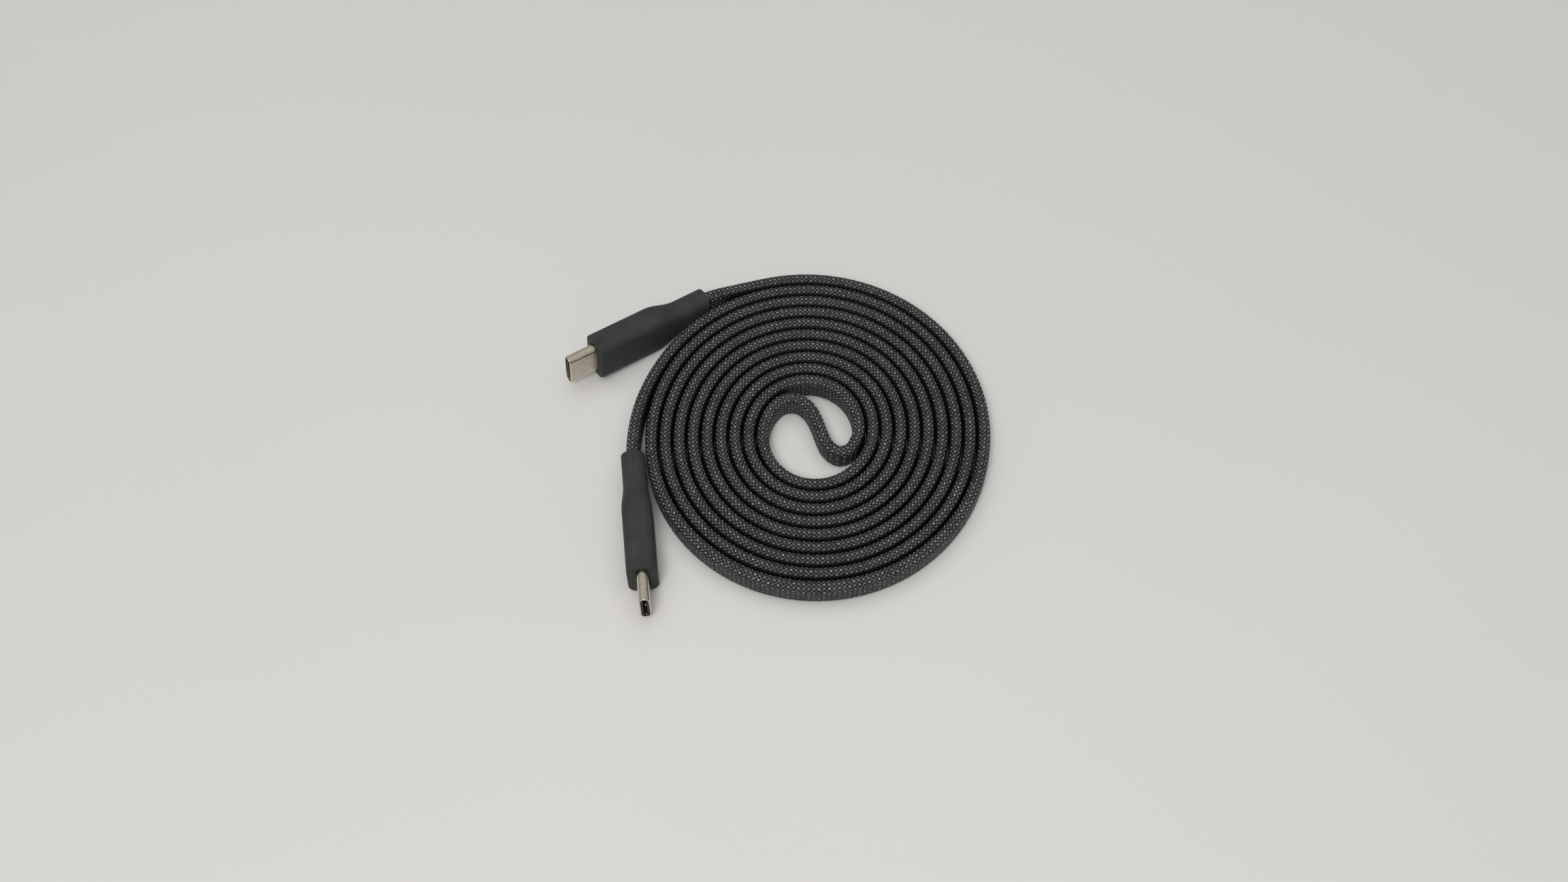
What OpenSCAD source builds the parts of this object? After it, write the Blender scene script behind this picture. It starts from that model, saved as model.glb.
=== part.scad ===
// Braided flat charging cable with a plug at each end, laid down as a flat double spiral.
// Millimetres, +Z up. The origin is the middle of the coil, on the surface that the cable lies on.
// Each plug is drawn in its own frame: +X towards its tip, Z across its width, Y through its thickness,
// and the origin at the middle of its overmold's front face. Plugs stand on edge.

/* [Cord] */
// Thickness of the flat cord
cord_t = 2.55; // [2.2:0.05:3]
// Height of the cord, which stands on its edge
cord_h = 6.5; // [6:0.1:7.2]
// How far the middle of the cord's wall bulges past its flat edges
cord_bulge = 0.45; // [0.2:0.05:0.8]
// Thickness of the woven sleeve round the cord's jacket
sleeve_t = 0.2; // [0.1:0.05:0.3]

/* [Coil] */
// Radius of the spiral where its two strands begin, halfway between them
eye_r = 12.8; // [12.4:0.1:16]
// Clear gap between neighbouring turns
turn_gap = 0.53; // [0.52:0.01:0.8]
// Full turns of each of the two strands
turns = 4; // [2:1:6]
// How far the spiral is drawn in along X and let out along Y
oval_depth = 0.56; // [0:0.02:0.8]
// Polar angle at which strand A leaves the coil for plug A
leave_angle_a = 105; // [90:15:105]
// Polar angle at which strand B leaves the coil for plug B
leave_angle_b = 150; // [135:15:150]

/* [Plug placing] */
// Polar angle of plug A's tail
tail_angle_a = 125.1; // [124:0.1:132]
// Direction that plug A's tip points in
heading_angle_a = 214; // [212:0.5:218]
// How far plug A's nose is raised, in degrees
nose_angle_a = 5.5; // [0:0.5:8]
// How far plug A leans over, in degrees
lean_angle_a = 3; // [-5:0.5:5]
// How far plug A's relief is tucked in towards the next turn
tuck_a = 0; // [0:0.05:0.4]
// Polar angle of plug B's tail
tail_angle_b = 190.3; // [188:0.1:196]
// Direction that plug B's tip points in
heading_angle_b = 276.4; // [275:0.1:282]
// How far plug B's nose is raised, in degrees
nose_angle_b = 1; // [0:0.5:8]
// How far plug B leans over, in degrees
lean_angle_b = 0; // [-5:0.5:5]
// How far plug B's relief is tucked in towards the next turn
tuck_b = 0.25; // [0:0.05:0.4]

/* [Overmold] */
// Length of the grip body
body_len = 15; // [14:0.5:20]
// Height of the grip body
body_h = 11; // [10.8:0.1:13]
// Thickness of the grip body
body_t = 6.6; // [6.4:0.1:8]
// Corner radius of the grip body
body_corner = 2.2; // [2:0.1:2.8]
// Length over which the body narrows to the strain relief
blend_len = 7; // [3.5:0.5:9]
// Length of the strain relief
neck_len = 7.5; // [6:0.5:14]
// Height of the strain relief
neck_h = 8.6; // [8.3:0.1:9.6]
// Thickness of the strain relief
neck_t = 5.3; // [5:0.1:6]
// Corner radius of the strain relief
neck_corner = 2.4; // [1:0.1:2.4]
// Rounding of the front edge
front_round = 0.5; // [0.2:0.05:0.6]
// Rounding of the tail's edge
tail_round = 0.3; // [0.1:0.05:0.5]
// Depth of the pocket that the shell comes out of
pocket_depth = 0.5; // [0.2:0.05:0.9]
// Width of the pocket's floor round the shell
pocket_gap = 0.3; // [0.15:0.05:0.4]
// Thickness of the overmold's front wall
front_wall = 1.4; // [1.1:0.1:1.7]
// Thickness of the overmold's side walls
mould_wall = 0.6; // [0.4:0.05:0.7]
// Length of solid overmold behind its cavity, before the body narrows
back_margin = 0.8; // [0.5:0.1:1.5]

/* [Shell] */
// Width of the plug shell
shell_w = 8.25; // [8.05:0.05:8.35]
// Thickness of the plug shell
shell_t = 2.4; // [2.35:0.05:2.8]
// Wall of the plug shell
shell_wall = 0.3; // [0.2:0.01:0.32]
// How far the shell stands out of the overmold
shell_reach = 6.9; // [6.4:0.1:8]
// How far the shell goes back inside the overmold
shell_root = 3.4; // [3:0.1:4]

/* [Insulator and contacts] */
// How far the insulator's mouth is set back from the shell's rim
mouth_setback = 0.5; // [0.2:0.1:1]
// How far the insulator stops short of the shell's inner end
insulator_inset = 0.1; // [0.05:0.01:0.3]
// Depth of the slot that the socket's tongue goes into
slot_depth = 5.5; // [5:0.1:5.7]
// Thickness of the insulator beside the slot
slot_wall = 0.375; // [0.335:0.005:0.45]
// Height of the slot
slot_t = 0.84; // [0.76:0.02:0.88]
// Distance from contact to contact
contact_pitch = 0.5; // [0.4:0.01:0.5]
// Width of a contact
contact_w = 0.25; // [0.18:0.01:0.28]
// Thickness of a contact
contact_t = 0.15; // [0.1:0.01:0.16]
// Distance from the middle plane to a contact's crown
crown_y = 0.27; // [0.2:0.01:0.35]
// Distance from the insulator's mouth back to where a contact's crown starts
crown_back = 2.1; // [2:0.1:3]
// Length of a contact's crown
crown_len = 0.4; // [0.2:0.05:0.6]
// Distance from the insulator's mouth back to a contact's tip
tip_back = 1.3; // [1.25:0.01:1.35]
// How far a contact's tip is lifted away from the middle plane
tip_lift = 0.1; // [0.05:0.01:0.12]
// Length of a contact's level root in front of the slot's floor
beam_root = 0.3; // [0.1:0.05:0.6]
// Length of a contact's tail on the board
tail_len = 1.8; // [1:0.1:2.2]
// Thickness of the side latch plate
latch_t = 0.24; // [0.14:0.02:0.26]
// Width of a latch arm
latch_arm = 0.22; // [0.15:0.01:0.24]
// Gap between the slot's side and a latch arm
arm_gap = 0.02; // [0.01:0.01:0.03]
// How far a latch arm stops short of the insulator's mouth
arm_setback = 0.6; // [0.5:0.05:0.9]
// How far a latch hook reaches into the slot
latch_hook = 0.3; // [0.1:0.02:0.35]
// Distance from a latch arm's tip back to the rear of its hook
hook_back = 2.2; // [1.5:0.1:2.6]
// Length of a latch hook
hook_len = 0.8; // [0.5:0.1:1.2]
// Length of the latch's bar
bar_len = 1; // [0.6:0.1:1.2]
// How far the latch's bar lies inside the insulator's rear
bar_inset = 0.6; // [0.3:0.1:0.8]
// Thickness of the ground spring's sheet
spring_t = 0.09; // [0.06:0.01:0.1]
// Length of the ground spring's flat sheet
spring_len = 3.8; // [3:0.1:4.2]
// Distance from the insulator's edge to the ground spring
spring_inset = 0.975; // [0.9:0.005:1.2]
// How far the ground spring lies below the insulator's face
spring_sink = 0.01; // [0.005:0.005:0.03]
// Width of one finger of the ground spring
finger_w = 0.8; // [0.5:0.05:1]
// Length of a finger's slope
finger_len = 0.75; // [0.6:0.05:0.9]
// How far a finger drops over its length
finger_drop = 0.25; // [0.1:0.05:0.3]
// How far a finger stops short of the insulator's mouth
finger_setback = 0.45; // [0.4:0.05:0.6]
// Width of the sheet beside the outer fingers
finger_margin = 0.2; // [0.1:0.05:0.3]

/* [Board and wires] */
// Thickness of the paddle board
board_t = 0.8; // [0.6:0.05:0.84]
// Gap between the board's edge and the shield can
board_gap = 0.3; // [0.1:0.05:0.5]
// Thickness of the solder between a contact and its pad
solder_t = 0.05; // [0.02:0.01:0.06]
// Room for the wires between the shield can's rear wall and the board
wire_room = 1.6; // [1.4:0.1:2]
// Side of the square marker chip
chip_w = 2; // [1.5:0.1:2.4]
// Height of the marker chip
chip_h = 0.6; // [0.4:0.05:0.9]
// Length of a capacitor or resistor
passive_len = 1; // [0.6:0.1:1.2]
// Height and width of a capacitor or resistor
passive_h = 0.5; // [0.3:0.05:0.6]
// Distance between capacitors or resistors
passive_spacing = 1.3; // [0.9:0.1:1.5]
// Radius of a power wire over its insulation
power_r = 0.55; // [0.5:0.01:0.6]
// Radius of a power wire's copper
power_core_r = 0.35; // [0.25:0.01:0.38]
// Radius of a signal wire over its insulation
signal_r = 0.35; // [0.3:0.01:0.37]
// Radius of a signal wire's copper
signal_core_r = 0.18; // [0.12:0.01:0.22]
// Distance from the middle to a power wire
power_z = 2.15; // [2:0.05:2.2]
// Distance between signal wires
signal_spacing = 0.8; // [0.76:0.01:0.85]
// Length of copper inside its insulation
core_inset = 0.5; // [0.3:0.1:0.8]
// Length of bare copper before it rises to its pad
elbow_gap = 0.35; // [0.2:0.05:0.4]
// Length over which the copper rises to its pad
elbow_run = 0.8; // [0.6:0.05:0.85]
// Length of copper lying on its pad
pad_len = 1.1; // [0.8:0.1:1.4]
// How far the solder beside the copper stops short of the pad's ends
fillet_inset = 0.1; // [0.05:0.01:0.2]
// Width of the solder beside the copper
fillet_w = 0.15; // [0.1:0.01:0.18]

/* [Shield and inner mould] */
// Sheet thickness of the shield can
can_wall = 0.2; // [0.12:0.01:0.22]
// Side wall of the inner mould
block_wall = 0.3; // [0.2:0.05:0.35]
// End walls of the inner mould
block_end = 0.5; // [0.3:0.05:0.6]
// Clear space round the wires in the shield can's gate
gate_gap = 0.2; // [0.1:0.05:0.3]
// How far the cord's jacket stops short of the ferrule's front
jacket_setback = 0.9; // [0.5:0.1:1.2]
// Wall of the crimp ferrule
ferrule_wall = 0.25; // [0.15:0.01:0.35]
// Length of the crimp ferrule
ferrule_len = 4.8; // [3.5:0.1:5.4]
// Clearance between pieces that fit into each other
fit = 0.05; // [0.03:0.01:0.06]

/* [Hidden] */
$fn = 48;
eps = 0.01;

// ---- Coil ----
ring_angle = 15;
route_steps = 2;
turn_pitch = cord_t + turn_gap;
start_angle_a = -225;
start_angle_b = 0;
// Middle line of the cord from the inner end of strand A to the inner end of strand B
eye_route = [
    [-5.4, 8.5], [-3, 8.4], [-0.5, 6.5], [1.2, 3.2], [2.4, -0.4],
    [3.9, -3.6], [6.2, -5.2], [8.7, -4.3], [10, -2.2]
];
// Points of the free stretches: polar angle, distance outside the spiral, height over the coil's
lead_a_route = [[120, 0.9, 0.65], [115, 0.4, 0.3], [110, 0.1, 0.1]];
lead_b_route = [[180, 0.6, 1.5], [170, 0.3, 0.8], [160, 0.1, 0.2]];
// The two strands lie half a pitch outside and inside the line between them
strand_a = turn_pitch / 2;
strand_b = -turn_pitch / 2;

// ---- Overmold ----
corner_steps = 6;
round_steps = 3;
blend_steps = 6;
overmold_len = body_len + blend_len + neck_len;
cavity_t = body_t - 2 * mould_wall;
cavity_h = body_h - 2 * mould_wall;
cavity_corner = body_corner - mould_wall;
cavity_back = -(body_len - back_margin);

// ---- Inner mould and shield can, nested in the cavity ----
block_t = cavity_t - 2 * fit;
block_h = cavity_h - 2 * fit;
block_corner = cavity_corner - fit;
block_front = -front_wall - fit;
block_back = cavity_back + fit;
can_t = block_t - 2 * block_wall - 2 * fit;
can_h = block_h - 2 * block_wall - 2 * fit;
can_corner = block_corner - block_wall - fit;
can_front = block_front - block_end - fit;
can_back = block_back + block_end + fit;
gate_t = 2 * (power_r + gate_gap);
gate_h = 2 * (power_z + power_r + gate_gap);

// ---- Insulator ----
insulator_t = shell_t - 2 * shell_wall - 2 * fit;
insulator_w = shell_w - 2 * shell_wall - 2 * fit;
insulator_front = shell_reach - mouth_setback;
insulator_back = insulator_inset - shell_root;
slot_floor = insulator_front - slot_depth;
slot_w = insulator_w - 2 * slot_wall;
contact_y = board_t / 2 + solder_t;
positions = 12;
// A charging cable's plug fills these of its twelve places in each row
upper_places = [1, 4, 5, 6, 7, 9, 12];
lower_places = [1, 4, 5, 9, 12];

// ---- Side latch ----
arm_z = slot_w / 2 + arm_gap;
arm_tip = insulator_front - arm_setback;
bar_back = insulator_back + bar_inset;

// ---- Ground springs ----
spring_y = insulator_t / 2 - spring_t - spring_sink;
spring_w = insulator_w - 2 * spring_inset;
finger_tip = insulator_front - finger_setback;
finger_root = finger_tip - finger_len;
spring_back = finger_root - spring_len;
fingers = 4;
finger_spacing = (spring_w - finger_w - 2 * finger_margin) / (fingers - 1);
finger_places = [for (i = [0 : fingers - 1]) (i - (fingers - 1) / 2) * finger_spacing];

// ---- Board ----
board_w = can_h - 2 * can_wall - 2 * board_gap;
board_front = insulator_back - fit;
board_back = can_back + can_wall + wire_room;
board_mid = (board_front - tail_len + board_back + pad_len) / 2;

// ---- Wires and cord end ----
jacket_t = cord_t - 2 * sleeve_t;
jacket_h = cord_h - 2 * sleeve_t;
ferrule_front = can_back - fit;
ferrule_back = ferrule_front - ferrule_len;
ferrule_t = jacket_t + 2 * fit + 2 * ferrule_wall;
ferrule_h = jacket_h + 2 * fit + 2 * ferrule_wall;
jacket_end = ferrule_front - jacket_setback;
strip_x = can_back + can_wall + fit;
elbow_x = strip_x + elbow_gap;
// Distance from the middle, insulation radius and copper radius of each wire
wires = [
    [-power_z, power_r, power_core_r],
    [-signal_spacing, signal_r, signal_core_r],
    [0, signal_r, signal_core_r],
    [signal_spacing, signal_r, signal_core_r],
    [power_z, power_r, power_core_r]
];

// Tail angle, strand, heading, nose angle, lean and tuck of each plug
plug_a = [tail_angle_a, strand_a, heading_angle_a, nose_angle_a, lean_angle_a, tuck_a];
plug_b = [tail_angle_b, strand_b, heading_angle_b, nose_angle_b, lean_angle_b, tuck_b];

// ---- Coil and leads: the route of the cord's middle line ----

// Radius of a strand's middle line at winding angle a, which goes on past 360
function spiral_r(strand, a) =
    eye_r + strand + turn_pitch * a / 180 - oval_depth * cos(2 * a);

function spiral_point(strand, a, out = 0, lift = 0) =
    let (r = spiral_r(strand, a) + out)
    [r * cos(a), r * sin(a), cord_h / 2 + lift];

function unit(v) = v / norm(v);

// A smooth curve through points 1 to n - 2 of p, without its last point
function smooth(p, steps) = [
    for (i = [1 : len(p) - 3])
    for (s = [0 : steps - 1])
    let (t = s / steps, a = p[i - 1], b = p[i], c = p[i + 1], d = p[i + 2])
    b + t * (c - a) / 2 + t * t * (a - 5 * b / 2 + 2 * c - d / 2)
        + t * t * t * (-a + 3 * b - 3 * c + d) / 2
];

coil_route = let (
        outer_a = [
            for (a = [360 * turns + leave_angle_a : -ring_angle : start_angle_a + ring_angle])
            spiral_point(strand_a, a)
        ],
        eye = smooth(concat(
            [spiral_point(strand_a, start_angle_a + ring_angle),
             spiral_point(strand_a, start_angle_a)],
            [for (p = eye_route) [p[0], p[1], cord_h / 2]],
            [spiral_point(strand_b, start_angle_b),
             spiral_point(strand_b, start_angle_b + ring_angle)]
        ), route_steps),
        outer_b = [
            for (a = [start_angle_b : ring_angle : 360 * turns + leave_angle_b])
            spiral_point(strand_b, a)
        ]
    )
    concat(outer_a, eye, outer_b);

// Direction of a route at each of its points; its ends are square to their own stretch
function directions(route) = [
    for (i = [0 : len(route) - 1])
    let (last = len(route) - 1)
    i == 0 ? unit(route[1] - route[0])
        : i == last ? unit(route[last] - route[last - 1])
        : unit(unit(route[i] - route[i - 1]) + unit(route[i + 1] - route[i]))
];

// Distance from point p to the stretch from a to b
function stretch_distance(p, a, b) =
    let (ab = b - a, t = max(0, min(1, (p - a) * ab / (ab * ab))))
    norm(p - a - t * ab);

// Least clear gap between turns, measured from each point to each stretch of another turn
function least_gap(route, apart) = min([
    for (i = [0 : len(route) - 1])
    for (j = [0 : len(route) - 2])
    if (abs(i - j) > apart)
    stretch_distance(route[i], route[j], route[j + 1])
]) - cord_t;

// ---- Tubes: rings of points joined by triangles ----

// The coil's section: flat edges, so that it stands, and walls that bulge in the middle
coil_section = [
    [cord_t / 2, 0], [cord_t / 2 - cord_bulge, cord_h / 2],
    [cord_bulge - cord_t / 2, cord_h / 2], [-cord_t / 2, 0],
    [cord_bulge - cord_t / 2, -cord_h / 2], [cord_t / 2 - cord_bulge, -cord_h / 2]
];

// The leads' section has one more side in each wall
lead_section = [
    for (side = [1, -1])
    for (p = [
        [cord_t / 2, -cord_h / 4], [cord_t / 2, cord_h / 4],
        [cord_t / 2 - cord_bulge, cord_h / 2], [cord_bulge - cord_t / 2, cord_h / 2]
    ])
    side * p
];

// One ring: its section's first axis is level, and its second is as upright as it can be
function ring(at, along, section) =
    let (level = unit(cross(along, [0, 0, 1])), upright = cross(level, along))
    [for (p = section) at + p[0] * level + p[1] * upright];

// Triangles over n rings of m points each, with both ends closed
function ring_faces(n, m) = concat(
    [for (i = [0 : n - 2]) for (j = [0 : m - 1]) each
        let (a = i * m + j, b = i * m + (j + 1) % m)
        [[a, b, b + m], [a, b + m, a + m]]],
    [for (j = [1 : m - 2]) [0, j + 1, j]],
    [for (j = [1 : m - 2]) let (e = (n - 1) * m) [e, e + j, e + j + 1]]
);

module tube(route, along, section) {
    rings = [for (i = [0 : len(route) - 1]) each ring(route[i], along[i], section)];
    polyhedron(rings, ring_faces(len(route), len(section)));
}

// ---- Plug placing ----

// How far a rounded section reaches down when it leans over
function reach_down(t, h, corner, lean_angle) =
    (h / 2 - corner) * cos(lean_angle) + (t / 2 - corner) * abs(sin(lean_angle)) + corner;

// Height of the tail's middle when the plug lies on the surface, on its tail or on its body
function tail_height(nose_angle, lean_angle) = max(
    reach_down(neck_t, neck_h, neck_corner, lean_angle) * cos(nose_angle),
    reach_down(body_t, body_h, body_corner, lean_angle) * cos(nose_angle)
        - (neck_len + blend_len) * sin(nose_angle)
);

// Middle of a plug's tail face: on the spiral's own line, moved out by as much as the relief is
// thicker than the cord, less the plug's tuck
function tail_point(plug) =
    let (r = spiral_r(plug[1], 360 * turns + plug[0]) + (neck_t - cord_t) / 2 - plug[5])
    [r * cos(plug[0]), r * sin(plug[0]), tail_height(plug[3], plug[4])];

function plug_axis(plug) = [
    cos(plug[3]) * cos(plug[2]), cos(plug[3]) * sin(plug[2]), sin(plug[3])
];

module at_plug(plug) {
    translate(tail_point(plug))
        rotate([plug[4], -plug[3], plug[2]])
        translate([overmold_len, 0, 0])
        children();
}

module cord_coil() {
    echo(str("Least gap between the coil's turns: ", least_gap(coil_route, 6), " mm"));
    color([0.16, 0.16, 0.17]) tube(coil_route, directions(coil_route), coil_section);
}

// Free stretch from a plug's tail to the coil's end point, where the coil runs along end_dir
module lead(plug, bends, end_point, end_dir) {
    route = concat(
        [tail_point(plug)],
        [for (b = bends) spiral_point(plug[1], 360 * turns + b[0], b[1], b[2])],
        [end_point]
    );
    inner = directions(route);
    last = len(route) - 1;
    along = [
        for (i = [0 : last])
        i == 0 ? -plug_axis(plug) : i == last ? end_dir : inner[i]
    ];
    color([0.16, 0.16, 0.17]) tube(route, along, lead_section);
}

module cord_lead_a() {
    lead(plug_a, lead_a_route, coil_route[0], unit(coil_route[1] - coil_route[0]));
}

module cord_lead_b() {
    last = len(coil_route) - 1;
    lead(plug_b, lead_b_route, coil_route[last],
        unit(coil_route[last - 1] - coil_route[last]));
}

// ---- Sections and prisms used by the plug's pieces ----

module along_x(from, to) {
    translate([from, 0, 0]) rotate([90, 0, 90]) linear_extrude(to - from) children();
}

module stadium(t, w) {
    square([t, w - t], center = true);
    for (side = [-1, 1]) translate([0, side * (w - t) / 2]) circle(d = t);
}

module rounded_rect(t, h, corner) {
    square([t, h - 2 * corner], center = true);
    square([t - 2 * corner, h], center = true);
    for (y = [-1, 1], z = [-1, 1])
        translate([y * (t / 2 - corner), z * (h / 2 - corner)]) circle(corner);
}

// A box from its lowest to its highest corner
module span(low, high) {
    translate(low) cube(high - low);
}

module rod(from, to, r) {
    d = to - from;
    translate(from)
        rotate([0, 0, atan2(d[1], d[0])])
        rotate([0, 90, 0])
        cylinder(r = r, h = norm(d));
}

// ---- Overmold ----

// Points of a rounded outline at station x, drawn in by inset on every side
function outline(x, t, h, corner, inset) = [
    for (q = [0 : 3])
    for (s = [0 : corner_steps])
    let (
        a = 90 * (q + s / corner_steps),
        r = corner - inset,
        y = (q == 0 || q == 3 ? 1 : -1) * (t / 2 - corner),
        z = (q < 2 ? 1 : -1) * (h / 2 - corner)
    )
    [x, y + r * cos(a), z + r * sin(a)]
];

function ease(s) = s * s * (3 - 2 * s);

function blended(a, b, s) = a + (b - a) * ease(s);

overmold_rings = concat(
    [for (i = [0 : round_steps]) let (a = 90 * i / round_steps)
        outline(-front_round * (1 - cos(a)), body_t, body_h, body_corner,
            front_round * (1 - sin(a)))],
    [for (i = [0 : blend_steps]) let (s = i / blend_steps)
        outline(-body_len - blend_len * s, blended(body_t, neck_t, s),
            blended(body_h, neck_h, s), blended(body_corner, neck_corner, s), 0)],
    [for (i = [round_steps : -1 : 0]) let (a = 90 * i / round_steps)
        outline(tail_round * (1 - cos(a)) - overmold_len, neck_t, neck_h, neck_corner,
            tail_round * (1 - sin(a)))]
);

module overmold_skin() {
    points = [for (r = overmold_rings) each r];
    polyhedron(points, ring_faces(len(overmold_rings), 4 * (corner_steps + 1)));
}

module overmold() {
    color([0.22, 0.23, 0.23])
    difference() {
        overmold_skin();
        along_x(cavity_back, -front_wall) rounded_rect(cavity_t, cavity_h, cavity_corner);
        along_x(-front_wall - eps, eps) stadium(shell_t + 2 * fit, shell_w + 2 * fit);
        along_x(-pocket_depth, eps)
            stadium(shell_t + 2 * pocket_gap, shell_w + 2 * pocket_gap);
        along_x(ferrule_back - fit, cavity_back + eps)
            stadium(ferrule_t + 2 * fit, ferrule_h + 2 * fit);
        along_x(-overmold_len - eps, ferrule_back) stadium(cord_t + 2 * fit, cord_h + 2 * fit);
    }
}

// ---- Shell, insulator and contacts ----

module shell() {
    color([0.8, 0.77, 0.72])
    along_x(-shell_root, shell_reach)
    difference() {
        stadium(shell_t, shell_w);
        stadium(shell_t - 2 * shell_wall, shell_w - 2 * shell_wall);
    }
}

function place_z(place) = (place - (positions + 1) / 2) * contact_pitch;

// One row of grooves: a closed passage behind the slot's floor, then open to the slot
module contact_grooves(places, side) {
    for (p = places)
        translate([0, 0, place_z(p)])
        mirror([0, side < 0 ? 1 : 0, 0]) {
            half = contact_w / 2 + fit / 2;
            top = contact_y + contact_t + fit;
            span([insulator_back - eps, contact_y - fit, -half], [slot_floor + eps, top, half]);
            span([slot_floor, 0, -half], [insulator_front - tip_back + fit, top, half]);
        }
}

// Seats of one ground spring: a shallow recess and a window for each finger
module spring_seat() {
    span(
        [spring_back - fit, spring_y - fit / 5, -spring_w / 2 - fit],
        [finger_root + fit, insulator_t, spring_w / 2 + fit]
    );
    for (z = finger_places)
        span(
            [finger_root, slot_t / 2 - eps, z - finger_w / 2 - fit],
            [finger_tip + fit, insulator_t, z + finger_w / 2 + fit]
        );
}

module latch_seat() {
    half = latch_t / 2 + fit / 2;
    outer = arm_z + latch_arm + fit / 2;
    span([insulator_back - eps, -half, -outer], [bar_back + bar_len + fit, half, outer]);
    for (side = [0, 1])
        mirror([0, 0, side])
        span([bar_back, -half, slot_w / 2 - fit], [arm_tip + fit, half, outer]);
}

module insulator() {
    color([0.05, 0.05, 0.05])
    difference() {
        along_x(insulator_back, insulator_front) stadium(insulator_t, insulator_w);
        along_x(slot_floor, insulator_front + eps) square([slot_t, slot_w], center = true);
        contact_grooves(upper_places, 1);
        contact_grooves(lower_places, -1);
        for (side = [0, 1]) mirror([0, side, 0]) spring_seat();
        latch_seat();
    }
}

// Side view of a contact: tail, beam, crown and lifted tip
module contact_profile() {
    top = contact_y + contact_t;
    back = insulator_back - tail_len;
    root = slot_floor + beam_root;
    crown = insulator_front - crown_back;
    tip = insulator_front - tip_back;
    polygon([
        [back, contact_y], [root, contact_y], [crown, crown_y],
        [crown + crown_len, crown_y], [tip, crown_y + tip_lift],
        [tip, crown_y + tip_lift + contact_t], [crown + crown_len, crown_y + contact_t],
        [crown, crown_y + contact_t], [root, top], [back, top]
    ]);
}

module contact_row(places) {
    color([0.83, 0.66, 0.3])
    for (p = places)
        translate([0, 0, place_z(p)])
        linear_extrude(contact_w, center = true)
        contact_profile();
}

module upper_contacts() {
    contact_row(upper_places);
}

module lower_contacts() {
    mirror([0, 1, 0]) contact_row(lower_places);
}

// A bar across the insulator and two arms whose hooks reach into the slot
module side_latch() {
    outer = arm_z + latch_arm;
    hook = arm_tip - hook_back;
    color([0.7, 0.7, 0.7]) {
        span([bar_back, -latch_t / 2, -outer], [bar_back + bar_len, latch_t / 2, outer]);
        for (side = [0, 1])
            mirror([0, 0, side]) {
                span([bar_back, -latch_t / 2, arm_z], [arm_tip, latch_t / 2, outer]);
                span(
                    [hook, -latch_t / 2, slot_w / 2 - latch_hook],
                    [hook + hook_len, latch_t / 2, outer]
                );
            }
    }
}

// One sheet with four fingers that slope into the slot's mouth
module ground_spring() {
    span(
        [spring_back, spring_y, -spring_w / 2],
        [finger_root, spring_y + spring_t, spring_w / 2]
    );
    for (z = finger_places)
        translate([0, 0, z])
        linear_extrude(finger_w, center = true)
        polygon([
            [finger_root - finger_w, spring_y], [finger_root, spring_y],
            [finger_tip, spring_y - finger_drop],
            [finger_tip, spring_y - finger_drop + spring_t],
            [finger_root, spring_y + spring_t], [finger_root - finger_w, spring_y + spring_t]
        ]);
}

module ground_springs() {
    color([0.75, 0.74, 0.7])
    for (side = [0, 1]) mirror([0, side, 0]) ground_spring();
}

// ---- Board ----

module board() {
    color([0.05, 0.3, 0.16])
    span([board_back, -board_t / 2, -board_w / 2], [board_front, board_t / 2, board_w / 2]);
}

module marker_chip() {
    color([0.08, 0.08, 0.09])
    translate([board_mid, board_t / 2, -board_w / 5])
    span([-chip_w / 2, 0, -chip_w / 2], [chip_w / 2, chip_h, chip_w / 2]);
}

module passives(count) {
    color([0.62, 0.5, 0.38])
    for (i = [0 : count - 1])
        translate([board_mid + (i - (count - 1) / 2) * passive_spacing, board_t / 2, board_w / 5])
        span([-passive_h / 2, 0, 0], [passive_h / 2, passive_h, passive_len]);
}

module plug_a_passives() {
    passives(3);
}

module plug_b_passives() {
    passives(2);
}

// Solder films under one row of contact tails
module solder_films(places) {
    for (p = places)
        translate([0, 0, place_z(p)])
        span(
            [insulator_back - tail_len, board_t / 2, -contact_w / 2],
            [board_front, contact_y, contact_w / 2]
        );
}

// Films under the contact tails, and a fillet of solder along the copper of each wire
module solder() {
    color([0.72, 0.73, 0.75]) {
        solder_films(upper_places);
        mirror([0, 1, 0]) solder_films(lower_places);
        for (w = wires)
            difference() {
                span(
                    [board_back + fillet_inset, board_t / 2, w[0] - w[2] - fillet_w],
                    [board_back + pad_len - fillet_inset, core_y(w), w[0] + w[2] + fillet_w]
                );
                rod(
                    [board_back - eps, core_y(w), w[0]],
                    [board_back + 2 * pad_len, core_y(w), w[0]],
                    w[2] + fit / 5
                );
            }
    }
}

// ---- Wires ----

// Height of a wire's copper over the board's middle plane, where it lies on its pad
function core_y(w) = board_t / 2 + solder_t + w[2];

// Copper of one wire: straight inside its insulation, up past the board's edge, then on its pad
module wire_core(w) {
    route = [
        [strip_x - core_inset, 0, w[0]],
        [elbow_x, 0, w[0]],
        [elbow_x + elbow_run, core_y(w), w[0]],
        [board_back + pad_len, core_y(w), w[0]]
    ];
    section = [for (a = [0 : 36 : 324]) w[2] * [cos(a), sin(a)]];
    tube(route, directions(route), section);
}

module wire_cores() {
    color([0.72, 0.42, 0.25])
    for (w = wires) wire_core(w);
}

module wires() {
    for (i = [0 : len(wires) - 1])
        color([[0.1, 0.1, 0.1], [0.9, 0.9, 0.9], [0.1, 0.5, 0.2], [0.2, 0.3, 0.7],
            [0.7, 0.1, 0.1]][i])
        difference() {
            rod([jacket_end, 0, wires[i][0]], [strip_x, 0, wires[i][0]], wires[i][1]);
            rod([strip_x - core_inset - fit, 0, wires[i][0]], [strip_x + eps, 0, wires[i][0]],
                wires[i][2] + fit / 2);
        }
}

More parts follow.
